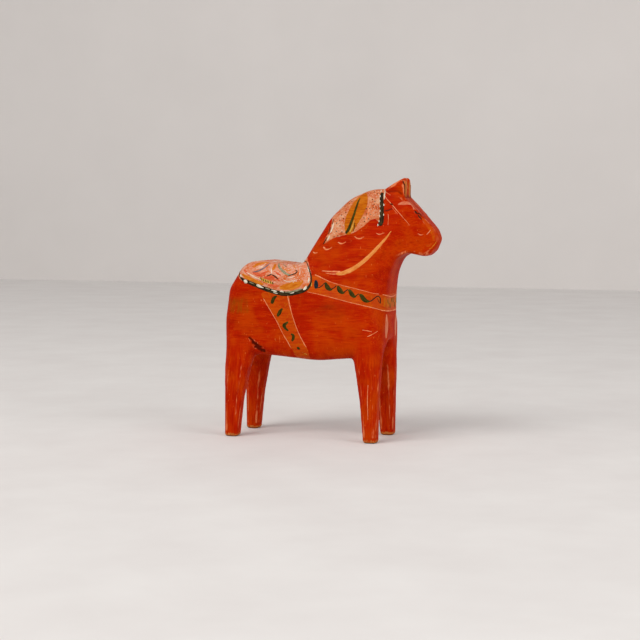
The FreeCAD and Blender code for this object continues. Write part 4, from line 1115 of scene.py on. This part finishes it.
def paint_reflections_and_scratches():
    """Painted reflection in pale pink on the forehead, its ridge and the chest, and thin scratches on the
    foreleg and shoulder.
    """
    reflection_strokes = []
    for side in SIDES:
        # Painted reflection: pale pink on the side of the forehead, its ridge and the chest, where they face
        # the pale room.
        brow = [(40.0, 135.0, 0.8), (43.4, 135.7, 2.2), (47.4, 134.9, 2.0), (51.0, 133.4, 0.7)]
        reflection_strokes.append(stroke(flank_line(brow, side), 0.08, 1, 0.2, side))
        y = side * 4.0
        ridge = [(46.6, y, 137.4, 0.5), (50.0, y, 134.4, 0.9), (53.6, y, 130.6, 0.5)]
        reflection_strokes.append(stroke(ridge, 0.08, 1, 0.2, 2.0 + side))
        chest = [(side * 9.4, 73.0, 1.4), (side * 9.0, 66.0, 5.0), (side * 9.6, 59.0, 2.0)]
        reflection_strokes.append(stroke(chest_line(chest), 0.07, 1, 0.25, 4.0 + side))
    finish_film("painted_reflection_patches", reflection_strokes, "reflection_pink")
    scratches = [
        [(26.4, 33.5, 0.3), (26.1, 25.0, 0.5), (26.4, 13.6, 0.3)],
        [(22.9, 64.5, 0.3), (25.8, 64.2, 0.6), (28.5, 63.5, 0.3)],
        [(25.8, 60.7, 0.3), (28.4, 62.0, 0.7), (31.2, 63.9, 0.3)],
    ]
    both_sides("thin_scratches", scratches, "cream", [], 0.07, 1, 0.5)


# ---------------------------------------------------------------- setting

CARD = 8.0              # metres along a side of the floor and of the wall
SKY_STRENGTH = 0.62     # daylight from all round
WINDOW_WATTS = 22.0
FILL_WATTS = 9.0
LENS = 85.0             # millimetres, on a sensor 36 mm wide
SENSOR = 36.0
LOOK_DOWN = 4.31        # degrees below level
LOOK_LEFT = 19.2        # degrees to the left of straight across the horse


def add_card(name, finish, colours, cloud_mm, place, turn=(0.0, 0.0, 0.0)):
    """A large matt card, faintly cloudy, so that the eye takes it for a real surface."""
    bpy.ops.mesh.primitive_plane_add(size=CARD, location=place, rotation=turn)
    card = bpy.context.object
    card.name = name
    material, tree = start_material(finish)
    places = add_node(tree, "ShaderNodeTexCoord").outputs["Object"]
    cloud = streaks(tree, places, (1, 1, 1), cloud_mm, 3.0)
    colour = add_node(tree, "ShaderNodeValToRGB", {"Fac": cloud}, [
        (0.3, colours[0]), (0.7, colours[1])]).outputs["Color"]
    add_shader(tree, {"Base Color": colour, "Roughness": 0.8})
    card.data.materials.append(material)
    return card


def make_floor():
    """A pale floor, and a plain wall that stands well behind the horse."""
    floor = add_card("pale_floor", "matt_white_card", ("#DEDAD8", "#E4E1DF"), 60.0, (0.0, 0.0, 0.0))
    wall = add_card(
        "pale_wall", "matt_grey_card", ("#E0DBD8", "#E4DFDC"), 200.0,
        (0.0, 1.6, 2.0), (math.pi / 2, 0.0, 0.0))


def add_softbox(name, place, aim, size, power, tint="#FFFFFF"):
    """A square soft light that looks at a point; metres and watts."""
    bpy.ops.object.light_add(type="AREA", location=place)
    lamp = bpy.context.object
    lamp.name = name
    lamp.data.shape = "SQUARE"
    lamp.data.size = size
    lamp.data.energy = power
    lamp.data.color = linear(tint)[:3]
    lamp.rotation_euler = (Vector(aim) - Vector(place)).to_track_quat("-Z", "Y").to_euler()


def make_light():
    """Even daylight all round, a large soft source high in front and a weaker one to the right."""
    world = bpy.data.worlds.new("soft_daylight")
    bpy.context.scene.world = world
    world.use_nodes = True
    background = world.node_tree.nodes["Background"]
    background.inputs["Color"].default_value = linear("#F2F1F0")
    background.inputs["Strength"].default_value = SKY_STRENGTH
    middle = (0.0, 0.0, 0.07)
    add_softbox("window_light", (-0.7, -1.3, 1.5), middle, 1.2, WINDOW_WATTS, "#FFFDFA")
    add_softbox("fill_light", (1.4, -0.6, 0.6), middle, 1.0, FILL_WATTS)


def make_camera():
    """A long lens a little above the back, on the head's side; colours show as they are mixed."""
    bpy.ops.object.camera_add(location=(0.2794, -0.8299, 0.1341))
    camera = bpy.context.object
    camera.name = "viewer"
    camera.rotation_euler = (math.radians(90.0 - LOOK_DOWN), 0.0, math.radians(LOOK_LEFT))
    camera.data.lens = LENS
    camera.data.sensor_width = SENSOR
    camera.data.clip_start = 0.01
    bpy.context.scene.camera = camera
    bpy.context.scene.view_settings.view_transform = "Standard"


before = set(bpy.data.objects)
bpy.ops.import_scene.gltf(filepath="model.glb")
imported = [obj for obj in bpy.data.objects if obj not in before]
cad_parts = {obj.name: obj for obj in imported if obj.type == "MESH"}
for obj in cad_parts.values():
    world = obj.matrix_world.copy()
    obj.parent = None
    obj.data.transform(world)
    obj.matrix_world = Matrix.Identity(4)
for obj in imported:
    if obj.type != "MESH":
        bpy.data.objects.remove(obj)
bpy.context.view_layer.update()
make_camera()
make_light()
make_floor()
PAINTS = make_materials()
BLOCK = make_block()
WOOD = BVHTree.FromObject(BLOCK, bpy.context.evaluated_depsgraph_get())
paint_fields()
paint_saddle()
paint_saddle_top()
paint_mane()
paint_neck_and_face()
paint_breast_strap()
paint_girth()
paint_ears()
paint_reflections_and_scratches()
